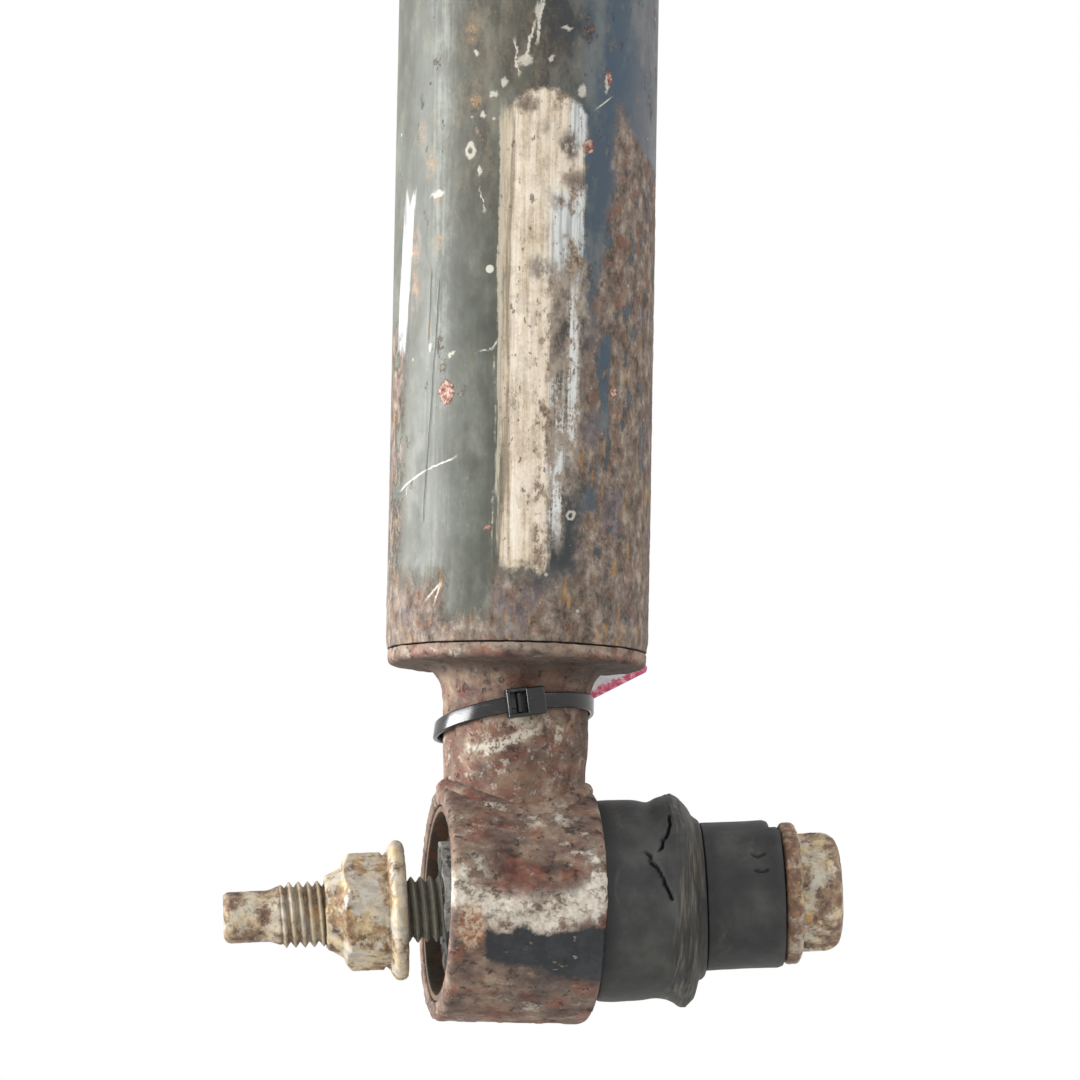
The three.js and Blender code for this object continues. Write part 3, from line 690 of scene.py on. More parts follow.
    brown = f.blend(violet * 0.5, brown, "645d68")
    brown = f.blend(crumb.ramp(0.62, 0.7) * 0.6, brown, "bdb4ab")
    pit = crumb.ramp(0.38, 0.31) & soil.ramp(0.52, 0.44)
    brown = f.blend(pit * 0.8, brown, "332a27")
    colour = f.blend(rust, colour, brown)
    rough = f.level(rust, rough, 0.86)

    # single marks: rust blisters, chips, drips and scratches
    torn_rim = crumb * 0.7 + 0.65
    blister = f.spot(near_s, near_z, (-21.5, 107), (1.9, 2.4)) / torn_rim
    blister = blister.ramp(1.15, 0.85)
    for place, size in (((9.1, 159.6), (1.4, 1.5)), ((-11, 78), (0.8, 0.5)), ((14, 175), (0.9, 1.6)),
                        ((17, 108), (1.2, 0.9))):
        blister = blister | (f.spot(near_s, near_z, place, size) / torn_rim).ramp(1.15, 0.85)
    colour = f.blend(blister * 0.9, colour, f.shades(f.noise(0.9, detail=5, rough=0.7, seed=17),
                                                     (0.4, "74392d"), (0.5, "a3705f"), (0.6, "cdb3a3")))
    bloom = f.spot(near_s, near_z, (-15.9, 168.7), (1.7, 1.7)).ramp(1.3, 0.5)
    for place, size in (((-17, 184), (1.7, 2.8)), ((-27, 156), (1.6, 3.4)), ((-24.5, 139), (1.3, 2)),
                        ((-25, 149), (1.1, 1.6)), ((-30, 163), (1.5, 2.6)), ((-26.5, 121), (0.9, 1.4))):
        bloom = bloom | (f.spot(near_s, near_z, place, size).ramp(1.5, 0.2) * 0.75)
    bloom = bloom * f.noise(1.5, detail=6, rough=0.7, seed=18).ramp(0.38, 0.56)
    colour = f.blend(bloom * 0.85, colour, f.blend(crumb.ramp(0.4, 0.6), "80674e", "a98c6a"))
    rim = f.spot(near_s, near_z, (-16.6, 158.4), (1.0, 1.6))
    second = f.spot(near_s, near_z, (6.6, 81.1), (0.9, 0.9))
    rings = window(rim, 0.5, 1.15, 0.4) | window(second, 0.5, 1.1, 0.4)
    chip = (rings * 0.8) | f.spot(s, z, (-11.8, 132.9), (0.85, 0.85)).ramp(1.2, 0.85)
    for place, size in (((-16, 179), (0.6, 0.9)), ((-11.6, 170.3), (0.9, 1)), ((-9.5, 172.8), (0.7, 1)),
                        ((-13.8, 166), (0.6, 0.8)), ((-14.5, 154), (0.5, 1)), ((7.7, 171.7), (0.9, 1.4)),
                        ((13.5, 173.5), (0.6, 1.8)), ((0.6, 178), (0.5, 0.7)), ((3.6, 184.5), (1.2, 0.5)),
                        ((-25, 149.5), (1.8, 0.7)), ((-20.5, 115), (0.7, 0.5)), ((-26, 117), (0.4, 1)),
                        ((-5, 177.5), (1.7, 1.1)), ((-2.4, 188), (0.8, 2.2))):
        worn_edge = f.spot(near_s + tear * 1.5, near_z + tear * 1.5, place, size) / torn_rim
        chip = chip | (worn_edge.ramp(1.3, 0.6) * 0.8)
    loose = f.cells(7, seed=19).ramp(0.07, 0.04) & f.noise(20, seed=20).ramp(0.46, 0.52)
    chip = chip | (loose * 0.7)
    for start, end, width in (
        ((-36.5, 87), (-27, 90.6), 0.34), ((-28, 90.3), (-19, 93), 0.28),
        ((-33.5, 85.5), (-33.6, 87.2), 0.25), ((-13.4, 115.6), (-10.6, 116), 0.3),
        ((-10.9, 115.9), (-9.6, 118), 0.3), ((-3.2, 186), (-5.3, 176.5), 0.4),
        ((-1.4, 192), (-2.7, 181), 0.45), ((-7.4, 182), (-6.4, 174), 0.35),
        ((-14.5, 150), (-13.2, 145), 0.2), ((-26, 63), (-22, 66.5), 0.35),
        ((-22, 66.5), (-23.5, 62), 0.35), ((11, 168), (15, 171), 0.2),
    ):
        chip = chip | (f.stroke(near_s + tear, near_z, start, end, width) & crumb.ramp(0.36, 0.46))
    colour = f.blend(chip * 0.85, colour, "d3cfc2")
    swipe_s = s + (streaks - 0.5) * 2.4 + tear * 0.8 + (z - 135) * -0.09
    swipe = window(swipe_s, -38.2, -33.6, 0.8) & window(near_z + (streaks - 0.5) * 14, 117, 150, 2)
    colour = f.blend(swipe * streaks.ramp(0.32, 0.42), colour, "b4b6b8")
    drip = window(s + (streaks - 0.5) * 2.4 + tear, -32.8, -30.6, 1.4) & window(torn_z, 126, 142, 7)
    colour = f.blend(drip * grime.ramp(0.42, 0.56) * 0.7, colour, "a5805f")
    hairline = f.stroke(s + wave * 0.8, z, (-23.7, 131), (-25.3, 105.6), 0.26)
    hairline = hairline | f.stroke(s + wave * 0.8, z, (-25.3, 106), (-27.2, 80), 0.26)
    hairline = hairline | f.stroke(s + wave * 0.8, z, (-26, 134), (-26.6, 118), 0.2)
    colour = f.blend(hairline * 0.8, colour, "40423d")

    height = (soil * 1.1 + crumb * 0.3 - pit * 0.4) * rust + (streaks * 0.35 - 0.35) * scrape
    height = height + blister * 0.5 - hairline * 0.4 + blotch * 0.12 + chip * 0.1
    return f.finish(colour, rough, height, depth=0.35)


def rust_body(f, seed=0, red_share=0.75):
    """Colour, roughness and height of scaly rust with dirt, pale deposits and pits."""
    big = f.noise(9, stretch=(1.5, 1, 1), detail=6, rough=0.62, twist=0.2, seed=seed + 1)
    mid = f.noise(3.6, stretch=(1.5, 1, 1), detail=8, rough=0.66, seed=seed + 2)
    fine = f.noise(0.8, detail=4, seed=seed + 3)
    colour = f.shades(big * 0.5 + mid * 0.5, (0.37, "3b2f2b"), (0.46, "66534a"), (0.53, "7e6a5c"),
                      (0.61, "9c8875"))
    red = f.noise(6, stretch=(1.4, 1, 1), detail=8, rough=0.64, twist=0.2, seed=seed + 4).ramp(0.5, 0.62)
    colour = f.blend(red * red_share, colour, f.blend(mid.ramp(0.4, 0.6), "5a3126", "865040"))
    orange = f.noise(2.2, detail=7, rough=0.66, seed=seed + 5).ramp(0.6, 0.68)
    colour = f.blend(orange * 0.5, colour, "a8754a")
    crust = f.noise(5.5, stretch=(1.6, 1, 0.8), detail=9, rough=0.74, twist=0.15,
                    seed=seed + 6).ramp(0.55, 0.63)
    crust = crust & fine.ramp(0.38, 0.52)
    colour = f.blend(crust * 0.75, colour, "bfb4a4")
    salt = f.noise(0.55, detail=5, rough=0.7, seed=seed + 9).ramp(0.6, 0.67) & big.ramp(0.38, 0.56)
    colour = f.blend(salt * 0.45, colour, "b7a999")
    pit = f.noise(2.2, detail=7, rough=0.7, seed=seed + 7).ramp(0.42, 0.35)
    colour = f.blend(pit * 0.65, colour, "2e2522")
    height = mid * 1.2 + fine * 0.2 + crust * 0.25 - pit * 0.5
    return colour, f.level(crust, 0.82, 0.72), height


def forging_rust():
    f = Finish("forging_rust")
    colour, rough, height = rust_body(f, seed=30)
    s, z = f.unrolled(15.5), f.z
    torn = f.noise(2.2, detail=6, rough=0.7, seed=41) - 0.5
    tan = f.noise(7, detail=4, seed=42).ramp(0.4, 0.62) & z.ramp(52, 49)
    colour = f.blend(tan * 0.25, colour, "9a7f62")
    ruddy = f.noise(3.4, detail=8, rough=0.72, twist=0.2, seed=46).ramp(0.47, 0.6) & window(z, 18, 46, 6)
    colour = f.blend(ruddy * 0.6, colour, "693a2e")
    flecks = f.noise(2.4, detail=8, rough=0.76, seed=47).ramp(0.55, 0.61) & window(z, 20, 38, 6)
    colour = f.blend(flecks * 0.65, colour, "b9ada0")
    trail = window(z - s * 0.4 + torn * 5, 34.4, 36.6, 1) & window(s + torn * 4, -9, 2.5, 2)
    trail = trail | (window(z + torn * 6, 31.6, 33.6, 1.2) & window(s + torn * 4, -14, -6, 2))
    trail = trail | (f.spot(s + torn * 3, z + torn * 3, (-1, 38.3), (2.6, 1.6)).ramp(1.3, 0.8) * 0.8)
    trail = trail | (f.spot(s + torn * 3, z + torn * 3, (7.5, 36), (0.9, 2)).ramp(1.3, 0.8) * 0.8)
    trail = trail & f.noise(0.9, detail=4, seed=43).ramp(0.36, 0.46)
    colour = f.blend(trail * 0.85, colour, "cdc5b6")
    shaded = s.ramp(2, 16) & z.ramp(52, 48) & f.noise(6, detail=6, seed=45).ramp(0.36, 0.56)
    colour = f.blend(shaded * 0.6, colour, "40342f")
    bright = window(z + torn * 3, 52.2, 55, 1.2) & f.noise(3.4, detail=6, seed=44).ramp(0.42, 0.56)
    colour = f.blend(bright * 0.4, colour, "b0a294")
    # painted shade: the underside of the flare below the rim is darkened
    underside_shade = z.ramp(52.3, 50.4)
    colour = f.blend(underside_shade & z.ramp(45.5, 50) * 0.7, colour, "382d29")
    return f.finish(colour, rough, height + trail * 0.3, depth=0.45)


def eye_rust():
    f = Finish("eye_rust")
    colour, rough, height = rust_body(f, seed=60)
    wave = f.noise(7, detail=4, seed=71) - 0.5
    torn = f.noise(2, detail=6, rough=0.7, seed=72) - 0.5
    x, z = f.x + wave * 3 + torn * 2, f.z + wave * 5 + torn * 3
    front = (f.y * -1).ramp(3, 9)
    grain = f.noise(1.1, detail=5, rough=0.7, seed=73)
    lift = (f.x / 16) * (f.x / 16) * 5
    broken = f.noise(3.6, stretch=(1.3, 1, 1), detail=9, rough=0.72, twist=0.15, seed=75)
    crust = window(z - lift, -6.6, 0.4, 4) & front & broken.ramp(0.35, 0.46)
    crust = crust | (f.spot(x, z, (-12.5, 3), (3.4, 6.5)).ramp(1.3, 0.6) & front & broken.ramp(0.44, 0.54))
    crust = crust | (f.spot(x, z, (14, 3), (3, 8.5)).ramp(1.3, 0.6) & front & broken.ramp(0.44, 0.54))
    under_neck = f.spot(x, z, (2, 17.5), (10, 2.4)).ramp(1.3, 0.3) & front
    crust = crust | (under_neck & broken.ramp(0.48, 0.58) * 0.7)
    crust = crust | (f.spot(x, z, (11, 10), (5, 2)).ramp(1.3, 0.3) & front & broken.ramp(0.5, 0.58) * 0.8)
    pale = f.shades(grain * 0.5 + broken * 0.5, (0.4, "9a8c7d"), (0.48, "c6bcae"), (0.58, "e2dcd0"))
    colour = f.blend(crust * 0.9, colour, pale)
    left_orange = f.spot(x, z, (-12.5, -6), (3, 5)).ramp(1.3, 0.6) & front
    colour = f.blend(left_orange * 0.7, colour, f.blend(grain.ramp(0.4, 0.6), "9a5f36", "cdbba5"))
    low_edge = (f.x / 16) * -2.4 - 14.5
    black = window(x, -9.4, 20, 1.2) & z.ramp(-5.6, -6.8) & (z - low_edge).ramp(-1.6, 1.2) & front
    wash = window(x - (f.z + 14) * 0.4, -1, 19, 7) & f.z.ramp(-24, -14) & z.ramp(-6, -8) & front
    black = black | (wash * 0.7 * broken.ramp(0.36, 0.52))
    worn = f.noise(1.6, stretch=(2, 1, 1), detail=5, seed=74).ramp(0.64, 0.7)
    black = black & ~worn
    colour = f.blend(black, colour, f.blend(broken.ramp(0.45, 0.6), "191c20", "292c31"))
    rough = f.level(black, rough, 0.45)
    height = f.level(black * 0.8, height + crust * 0.35, 0.8)
    return f.finish(colour, rough, height, depth=0.45)


def plain_rust():
    f = Finish("weld_rust")
    colour, rough, height = rust_body(f, seed=90, red_share=0.9)
    return f.finish(colour, rough, height, depth=0.4)


def aged_zinc(name, seed, cream_from=0.47, threaded=False):
    """Zinc plating gone chalky, flaking over brown rust."""
    f = Finish(name, metallic=0.1)
    soil = f.noise(2.4, detail=7, rough=0.66, seed=seed)
    tan, sand = ("7c6553", "9a866f") if threaded else ("866a4d", "a58b69")
    colour = f.shades(soil, (0.36, "50403a"), (0.46, tan), (0.56, sand), (0.67, "bdae95"))
    red = f.noise(3, detail=6, rough=0.64, seed=seed + 6).ramp(0.52, 0.64)
    colour = f.blend(red * 0.4, colour, "83563f")
    flake = f.noise(5.5, detail=9, rough=0.72, twist=0.1, seed=seed + 1).ramp(cream_from, cream_from + 0.07)
    chalk = f.shades(f.noise(6, detail=5, seed=seed + 2), (0.38, "bdbab2"), (0.5, "c9bfab"), (0.6, "ccb68c"))
    chalk = f.blend(soil.ramp(0.56, 0.42) * 0.5, chalk, "988b76")
    colour = f.blend(flake * 0.88, colour, chalk)
    amber = f.noise(4, detail=5, seed=seed + 3).ramp(0.62, 0.72)
    colour = f.blend(amber * 0.6, colour, "cfa262")
    speck = f.noise(0.9, detail=6, rough=0.72, seed=seed + 4).ramp(0.38, 0.31)
    colour = f.blend(speck * 0.7, colour, "4b3d32")
    height = soil * 0.8 + flake * 0.35 - speck * 0.4
    if threaded:
        radius = (f.y * f.y + f.z * f.z).math("SQRT")
        root = radius.ramp(6.9, 6.1) & f.x.ramp(-8, -12) & window(f.x, -49.5, 0, 0.5)
        colour = f.blend(root * 0.45, colour, "5f5142")
        crest = radius.ramp(6.4, 6.9) & window(f.x, -49.5, -24, 0.5)
        colour = f.blend(crest * 0.5, colour, "b5a78f")
        oily = window(f.x, -24, 5, 1.5) & radius.ramp(7.4, 7.2)
        flange = window(f.x, 57, 60.4, 1.2) & soil.ramp(0.36, 0.5)
        worn_edge = f.x.ramp(65.5, 69) & soil.ramp(0.54, 0.44)
        colour = f.blend(worn_edge * 0.6, colour, "7d6253")
        colour = f.blend(flange * 0.7, colour, f.blend(soil.ramp(0.45, 0.6), "5f3f30", "94684e"))
        colour = f.blend(oily * 0.85, colour, f.blend(radius.ramp(5.9, 6.6), "4b4c45", "9b9b8f"))
    return f.finish(colour, f.level(flake, 0.72, 0.56), height, depth=0.22)


def rubber(name, seed, dusty=None):
    f = Finish(name, specular=0.35)
    cloud = f.noise(9, detail=5, seed=seed)
    fine = f.noise(0.9, detail=5, rough=0.65, seed=seed + 1)
    colour = f.shades(cloud, (0.35, "292a2c"), (0.5, "353636"), (0.66, "464644"))
    scuff = f.noise(6, stretch=(1, 2, 2), detail=8, rough=0.7, twist=0.8, seed=seed + 2).ramp(0.56, 0.74)
    colour = f.blend(scuff * 0.35, colour, "66625a")
    height = fine * 0.5 + cloud * 0.4
    if dusty:
        ridges = f.noise(0.55, stretch=(1, 14, 14), detail=4, seed=seed + 3)
        share = window(f.x, *dusty, 2.5) & (f.noise(7, detail=4, seed=seed + 4).ramp(0.3, 0.5))
        tone = f.shades(ridges, (0.36, "232220"), (0.5, "403d38"), (0.64, "6a645a"))
        colour = f.blend(share * 0.75, colour, tone)
        height = height + ridges * share * 0.9
    # painted shade: darker bands along the bolt where the collar meets the eye and where collar and boot meet
    crease = window(f.x, 14, 18.5, 3) | window(f.x, 36.5, 43, 2)
    colour = f.blend(crease * 0.45, colour, "1b1e20")
    # painted shade: the tears are coloured near black
    split = f.attribute("split")
    colour = f.blend(split, colour, "0b0b0c")
    return f.finish(colour, f.level(cloud, 0.48, 0.68), height, depth=0.16)


def plain_rubber(name, seed):
    f = Finish(name, specular=0.35)
    cloud = f.noise(12, detail=5, seed=seed)
    fine = f.noise(0.7, detail=4, seed=seed + 1)
    colour = f.shades(cloud, (0.35, "232426"), (0.65, "3a3b3b"))
    return f.finish(colour, f.level(fine, 0.6, 0.8), fine, depth=0.08)


def steel(name, dark, light, seed, rough=(0.3, 0.5), metallic=0.9, spotted=0.0):
    """Turned or drawn steel with fine tool marks and, where spotted, light rust."""
    f = Finish(name, metallic=metallic)
    marks = f.noise(0.5, stretch=(6, 6, 0.6), detail=4, seed=seed)
    cloud = f.noise(9, detail=5, seed=seed + 1)
    colour = f.shades(cloud * 0.6 + marks * 0.4, (0.36, dark), (0.64, light))
    stain = f.noise(5, detail=7, rough=0.68, seed=seed + 2).ramp(0.62 - spotted * 0.16, 0.7 - spotted * 0.16)
    colour = f.blend(stain * (0.25 + spotted * 0.6), colour, "7a5a44")
    return f.finish(colour, f.level(stain * 0.5 + cloud * 0.5, *rough), marks, depth=0.03)


def torn_sleeve(name, seed):
    """Bare grey steel at the end that shows, black with bonded rubber along the rest."""
    f = Finish(name, metallic=0.2)
    patch = f.noise(4, detail=8, rough=0.7, seed=seed)
    fine = f.noise(0.8, detail=5, rough=0.65, seed=seed + 1)
    bare = f.shades(fine * 0.5 + patch * 0.5, (0.36, "6f6e6a"), (0.5, "9b9a94"), (0.64, "bdbcb5"))
    coat = f.blend(fine.ramp(0.4, 0.6), "1b1b1c", "333331")
    bonded = f.x.ramp(-13.4, -8) | (patch.ramp(0.5, 0.56) * 0.85)
    colour = f.blend(bonded, bare, coat)
    return f.finish(colour, f.level(bonded, 0.5, 0.75), patch + fine * 0.3, depth=0.3)


def moulded(name, dark, light, seed, grain=0.6, rough=(0.38, 0.55), specular=0.5, depth=0.04):
    """Moulded plastic or a sprayed coating with a fine grain and faint scuffs."""
    f = Finish(name, specular=specular)
    fine = f.noise(grain, detail=3, seed=seed)
    cloud = f.noise(15, detail=5, seed=seed + 1)
    scuff = f.noise(2.6, stretch=(1, 1, 8), detail=5, twist=0.4, seed=seed + 2).ramp(0.58, 0.74)
    colour = f.blend(cloud.ramp(0.35, 0.65), dark, light)
    colour = f.blend(scuff * 0.35, colour, "77786f")
    return f.finish(colour, f.level(cloud * 0.5 + scuff * 0.5, *rough), fine, depth=depth)


def coated_steel(name, seed):
    """Black electro-coat with rust creeping from chips."""
    f = Finish(name, metallic=0.0)
    cloud = f.noise(18, detail=5, seed=seed)
    peel = f.noise(1.1, detail=3, seed=seed + 1)
    colour = f.shades(cloud, (0.35, "1c1d1f"), (0.65, "2c2e30"))
    chips = f.noise(5, detail=8, rough=0.7, seed=seed + 2).ramp(0.6, 0.65)
    halo = f.noise(5, detail=5, rough=0.6, seed=seed + 2).ramp(0.55, 0.66)
    soil = f.noise(1.4, detail=6, seed=seed + 3)
    colour = f.blend(halo * 0.4, colour, "4a3930")
    colour = f.blend(chips, colour, f.shades(soil, (0.38, "56372a"), (0.5, "7d4e35"), (0.62, "a57850")))
    dust = f.noise(30, detail=6, seed=seed + 4).ramp(0.45, 0.75)
    colour = f.blend(dust * 0.18, colour, "8a857c")
    return f.finish(colour, f.level(chips, 0.4, 0.85), peel * 0.3 + chips * soil, depth=0.15)


def sintered(name, seed):
    f = Finish(name, metallic=0.7)
    grains = f.cells(0.45, seed=seed)
    cloud = f.noise(8, detail=5, seed=seed + 1)
    colour = f.shades(cloud, (0.35, "46474b"), (0.65, "66676b"))
    colour = f.blend(grains.ramp(0.35, 0.1) * 0.4, colour, "2e2f33")
    return f.finish(colour, f.level(cloud, 0.48, 0.68), grains, depth=0.05)


def cream_foam(name, seed):
    f = Finish(name, specular=0.25)
    pores = f.cells(0.7, seed=seed)
    cloud = f.noise(14, detail=5, seed=seed + 1)
    colour = f.shades(cloud, (0.35, "b9a672"), (0.65, "d9c9a0"))
    colour = f.blend(pores.ramp(0.32, 0.08) * 0.6, colour, "8d7a50")
    return f.finish(colour, f.level(pores, 0.85, 0.95), pores, depth=0.12)


def nylon():
    f = Finish("tie_nylon", specular=0.6)
    fine = f.noise(0.5, detail=3, seed=201)
    cloud = f.noise(5, detail=4, seed=202)
    scuff = f.noise(0.8, stretch=(5, 5, 1), detail=5, seed=203).ramp(0.6, 0.7)
    colour = f.blend(cloud.ramp(0.35, 0.65), "0e0f11", "18191b")
    colour = f.blend(scuff * 0.3, colour, "5a5b5e")
    return f.finish(colour, f.level(cloud, 0.14, 0.24), fine * 0.5 + scuff * 0.4, depth=0.02)


def tag_film():
    """Thin frosted film with a plain coloured band along its lower edge."""
    f = Finish("tag_film", specular=0.5)
    lower = f.attribute("rise")
    fibre = f.noise(0.8, stretch=(3, 3, 1), detail=5, seed=211)
    crease = f.noise(6, detail=4, seed=212)
    pale = f.shades(fibre * 0.5 + crease * 0.5, (0.38, "cfccd1"), (0.6, "ebeaec"))
    worn = f.noise(1.3, detail=6, rough=0.7, seed=213)
    band = (lower + (worn - 0.5) * 3.4 + (crease - 0.5) * 2.5).ramp(2.1, 1.4)
    colour = f.blend(band * 0.92, pale, f.shades(worn, (0.36, "b3123f"), (0.5, "d93a6c"), (0.62, "efb4c6")))
    f.shader.inputs["Transmission Weight"].default_value = 0.12
    return f.finish(colour, f.level(fibre, 0.3, 0.5), fibre * 0.4 + crease, depth=0.08)


# ------------------------------------------------------------------ damper tube, base and eye

def scaly(amount, size, seed):
    """Relief of rusty steel: soft lumps, scale and pits."""
    def relief(points):
        lumps = ripple(points, size, 4, seed)
        scale = ripple(points, size * 0.35, 3, seed + 1)
        pits = smooth(ripple(points, size * 0.5, 2, seed + 2), 0.42, 0.75)
        return amount * (lumps * 0.5 + smooth(scale, 0.05, 0.3) * 0.45 - pits * 0.8)
    return relief


def tube_relief(points):
    around = np.arctan2(points[:, 0], -points[:, 1]) * TUBE_R
    height = points[:, 2]
    outside = smooth(np.hypot(points[:, 0], points[:, 1]), TUBE_R - 1, TUBE_R - 0.5)
    tongue = smooth(around, 8, 13) * smooth(around, 62, 45) * smooth(height, 168, 150)
    band = smooth(height, RUST_BAND_TOP + 4, RUST_BAND_TOP - 3)
    rust = np.maximum(tongue, band)
    rough = scaly(0.16, 4, 1)(points) * rust
    dents = ripple(points, 22, 2, 3) * 0.05
    lip = smooth(height, TUBE_LOW + 2.4, TUBE_LOW + 0.6) * 0.3
    return (rough + dents - lip) * outside


def make_tube(finish):
    wall_inside = TUBE_R - 2.2
    fine_top = 200
    line = rounded([
        (wall_inside, TUBE_LOW), (TUBE_R, TUBE_LOW, 0.35), (TUBE_R, fine_top), (TUBE_R, TUBE_HIGH, 3),
        (20, TUBE_HIGH, 0.3), (20, TUBE_HIGH - 2.2), (wall_inside, TUBE_HIGH - 2.2, 1),
    ], lambda radius, height: 20 if radius < 27 else (0.62 if height < fine_top else 2.5))
    fitted("damper", "damper_tube", turned(line, 300), finish, "tube_paint", "outer_tube", relief=tube_relief)


def saddle(points_y, radius):
    """Height of a cylinder along X over each Y."""
    return np.sqrt(np.maximum(radius ** 2 - points_y ** 2, 0))


def make_base(finish):
    _, high = box_mm("base_forging")
    neck_r, waist_r, rim_z = 15.5, 14.9, TUBE_LOW - 3.1
    foot, free = 12, 30
    line = rounded([
        (0.4, foot), (neck_r, foot), (neck_r, 20, 1), (waist_r, 26.5, 4), (neck_r, 32.5, 3),
        (neck_r, 43.5, 3), (16.2, 47.5, 2), (18.6, rim_z - 0.5, 2.2), (26.9, rim_z, 0.6),
        (BASE_RIM_R, rim_z + 0.7, 0.5), (BASE_RIM_R, TUBE_LOW - 0.15, 0.2), (25.6, TUBE_LOW - 0.15, 0.2),
        (25.5, high[2], 0.3), (0.4, high[2]),
    ], lambda radius, height: 3 if height > TUBE_LOW or height < 13 else 0.45)

    def seated(radius, height, angle):
        """The neck's foot follows the round of the eye."""
        across = radius * np.cos(angle)
        sunk = saddle(across, EYE_R - 1.4) + (height - foot) * 0.2
        share = smooth(height, foot + 6, free)
        return radius, sunk * (1 - share) + height * share

    def relief(points):
        underside = smooth(points[:, 2], rim_z + 0.5, rim_z - 0.5)
        on_rim = smooth(points[:, 2], rim_z, rim_z + 2)
        return scaly(0.34, 6, 11)(points) * (1 - 0.4 * on_rim) * (1 - 0.3 * underside)

    fitted("damper", "base_and_neck", turned(line, 288, shape=seated, closed=False), finish,
           "rusty_steel", "base_forging", relief=relief)


def make_weld(finish):
    """A lumpy bead round the saddle where neck meets eye."""
    around = np.broadcast_to((np.arange(240) * TURN / 240)[None], (28, 240))
    section = np.broadcast_to((np.arange(28) * TURN / 28)[:, None], (28, 240))
    middle = 15 - 0.6 * np.sin(around) ** 2
    ring = np.stack([np.sin(around) * 15, -np.cos(around) * 15, around * 0], -1).reshape(-1, 3)
    lumps = (ripple(ring, 7, 3, 21) * 0.5 + ripple(ring, 2.6, 2, 22) * 0.22).reshape(28, 240)
    size = 1.9 + lumps
    out = middle + np.cos(section) * size * 1.15
    across = out * np.cos(around)
    rise = saddle(across, EYE_R - 0.5) + np.sin(section) * size * 0.95 + 0.4 + lumps * 0.4
    points = np.stack([out * np.sin(around), -across, rise], -1).reshape(-1, 3)
    shape = points, grid_faces(28, 240, True)
    fitted("damper", "eye_weld_bead", shape, finish, "rusty_steel", "eye_weld", relief=scaly(0.3, 3, 23))


def make_eye(finish):
    bore = 21
    line = rounded([
        (bore, -EYE_HALF, 0.6), (EYE_R, -EYE_HALF, 1.4), (EYE_R + 0.1, 0), (EYE_R, EYE_HALF, 2.2),
        (bore, EYE_HALF, 0.6),
    ], lambda radius, height: 0.45 if radius > bore + 0.2 else 1.2)

    def relief(points):
        outside = smooth(np.hypot(points[:, 1], points[:, 2]), bore, EYE_R - 2)
        return scaly(0.34, 6, 31)(points) * (0.25 + 0.75 * outside)

    fitted("damper", "lower_eye", turned(line, 340, "X"), finish, "rusty_steel", "eye_ring", relief=relief)


# ------------------------------------------------------------------ bush

def offset_radius(angle, radius, off_out, off_up):
    """Radius, from the eye's axis, of a circle whose centre is off the axis."""
    centre = np.hypot(off_out, off_up)
    towards = np.arctan2(off_up, off_out)
    across = centre * np.sin(angle - towards)
    return centre * np.cos(angle - towards) + np.sqrt(radius ** 2 - across ** 2)


def make_bush(finishes):
    _, sleeve_end, sleeve_r = span_mm("bush_outer_sleeve")
    line = rounded([(sleeve_r - 1.2, -sleeve_end, 0.3), (sleeve_r, -sleeve_end, 0.3),
                    (sleeve_r, sleeve_end, 0.3), (sleeve_r - 1.2, sleeve_end, 0.3)], 1)
    fitted("damper", "bush_outer_shell", turned(line, 160, "X"), finishes["shell_rust"], "plain_steel",
           "bush_outer_sleeve", relief=scaly(0.08, 3, 41))

    left, right, inner = -12.4, sleeve_end, span_mm("bush_inner_sleeve", BOLT_PLACE)[2]
    line = rounded([(inner + 0.2, left + 1), (16.4, left + 1.6, 1), (18, left - 0.2, 1),
                    (sleeve_r - 1.5, left, 0.5), (sleeve_r - 1.5, right), (inner + 0.2, right)], 0.6)
    tip = BOLT_PLACE @ Vector((1, 0, 0))

    def follow_sleeve(radius, height, angle):
        """The hole through the rubber leans with the sleeve in it."""
        hole = offset_radius(angle, inner + 0.25, -tip.y / tip.x * height, tip.z / tip.x * height)
        share = smooth(radius, inner + 2.2, inner + 0.3)
        return np.maximum(radius * (1 - share) + hole * share, hole), height

    def torn(points):
        face = smooth(points[:, 0], left + 4, left + 1)
        return face * (ripple(points, 4, 4, 43) * 0.9 + smooth(ripple(points, 2, 2, 44), 0.1, 0.5) * -0.7)

    fitted("damper", "bush_rubber", turned(line, 200, "X", follow_sleeve), finishes["core_rubber"],
           "black_rubber", "bush_rubber_core", relief=torn)

    start, end, radius = span_mm("bush_inner_sleeve", BOLT_PLACE)

    def chewed(points):
        """The end that shows in the eye is ragged with rubber still bonded to it."""
        near_end = smooth(points[:, 0], start + 5, start + 1)
        return np.minimum(scaly(0.12, 3, 45)(points) + near_end * (ripple(points, 4, 4, 46) - 0.3), 0.03)

    line = rounded([(7.5, start, 0.4), (radius, start, 0.5), (radius, end, 0.4), (7.5, end, 0.4)],
                   lambda r, h: 0.5 if h < start + 3 else 2)
    fitted("bush_inner", "bush_sleeve", turned(line, 160, "X"), finishes["sleeve_steel"], "plain_steel",
           "bush_inner_sleeve", place=BOLT_PLACE, relief=chewed)
    make_collar(finishes["collar_rubber"])
    make_boot(finishes["boot_rubber"])


def distance_to_line(across, up, points):
    """Distance from each place to a line of points."""
    best = np.full(across.shape, 1e9)
    for (x0, y0), (x1, y1) in zip(points, points[1:]):
        run, rise = x1 - x0, y1 - y0
        share = np.clip(((across - x0) * run + (up - y0) * rise) / (run ** 2 + rise ** 2), 0, 1)
        best = np.minimum(best, np.hypot(across - x0 - share * run, up - y0 - share * rise))
    return best


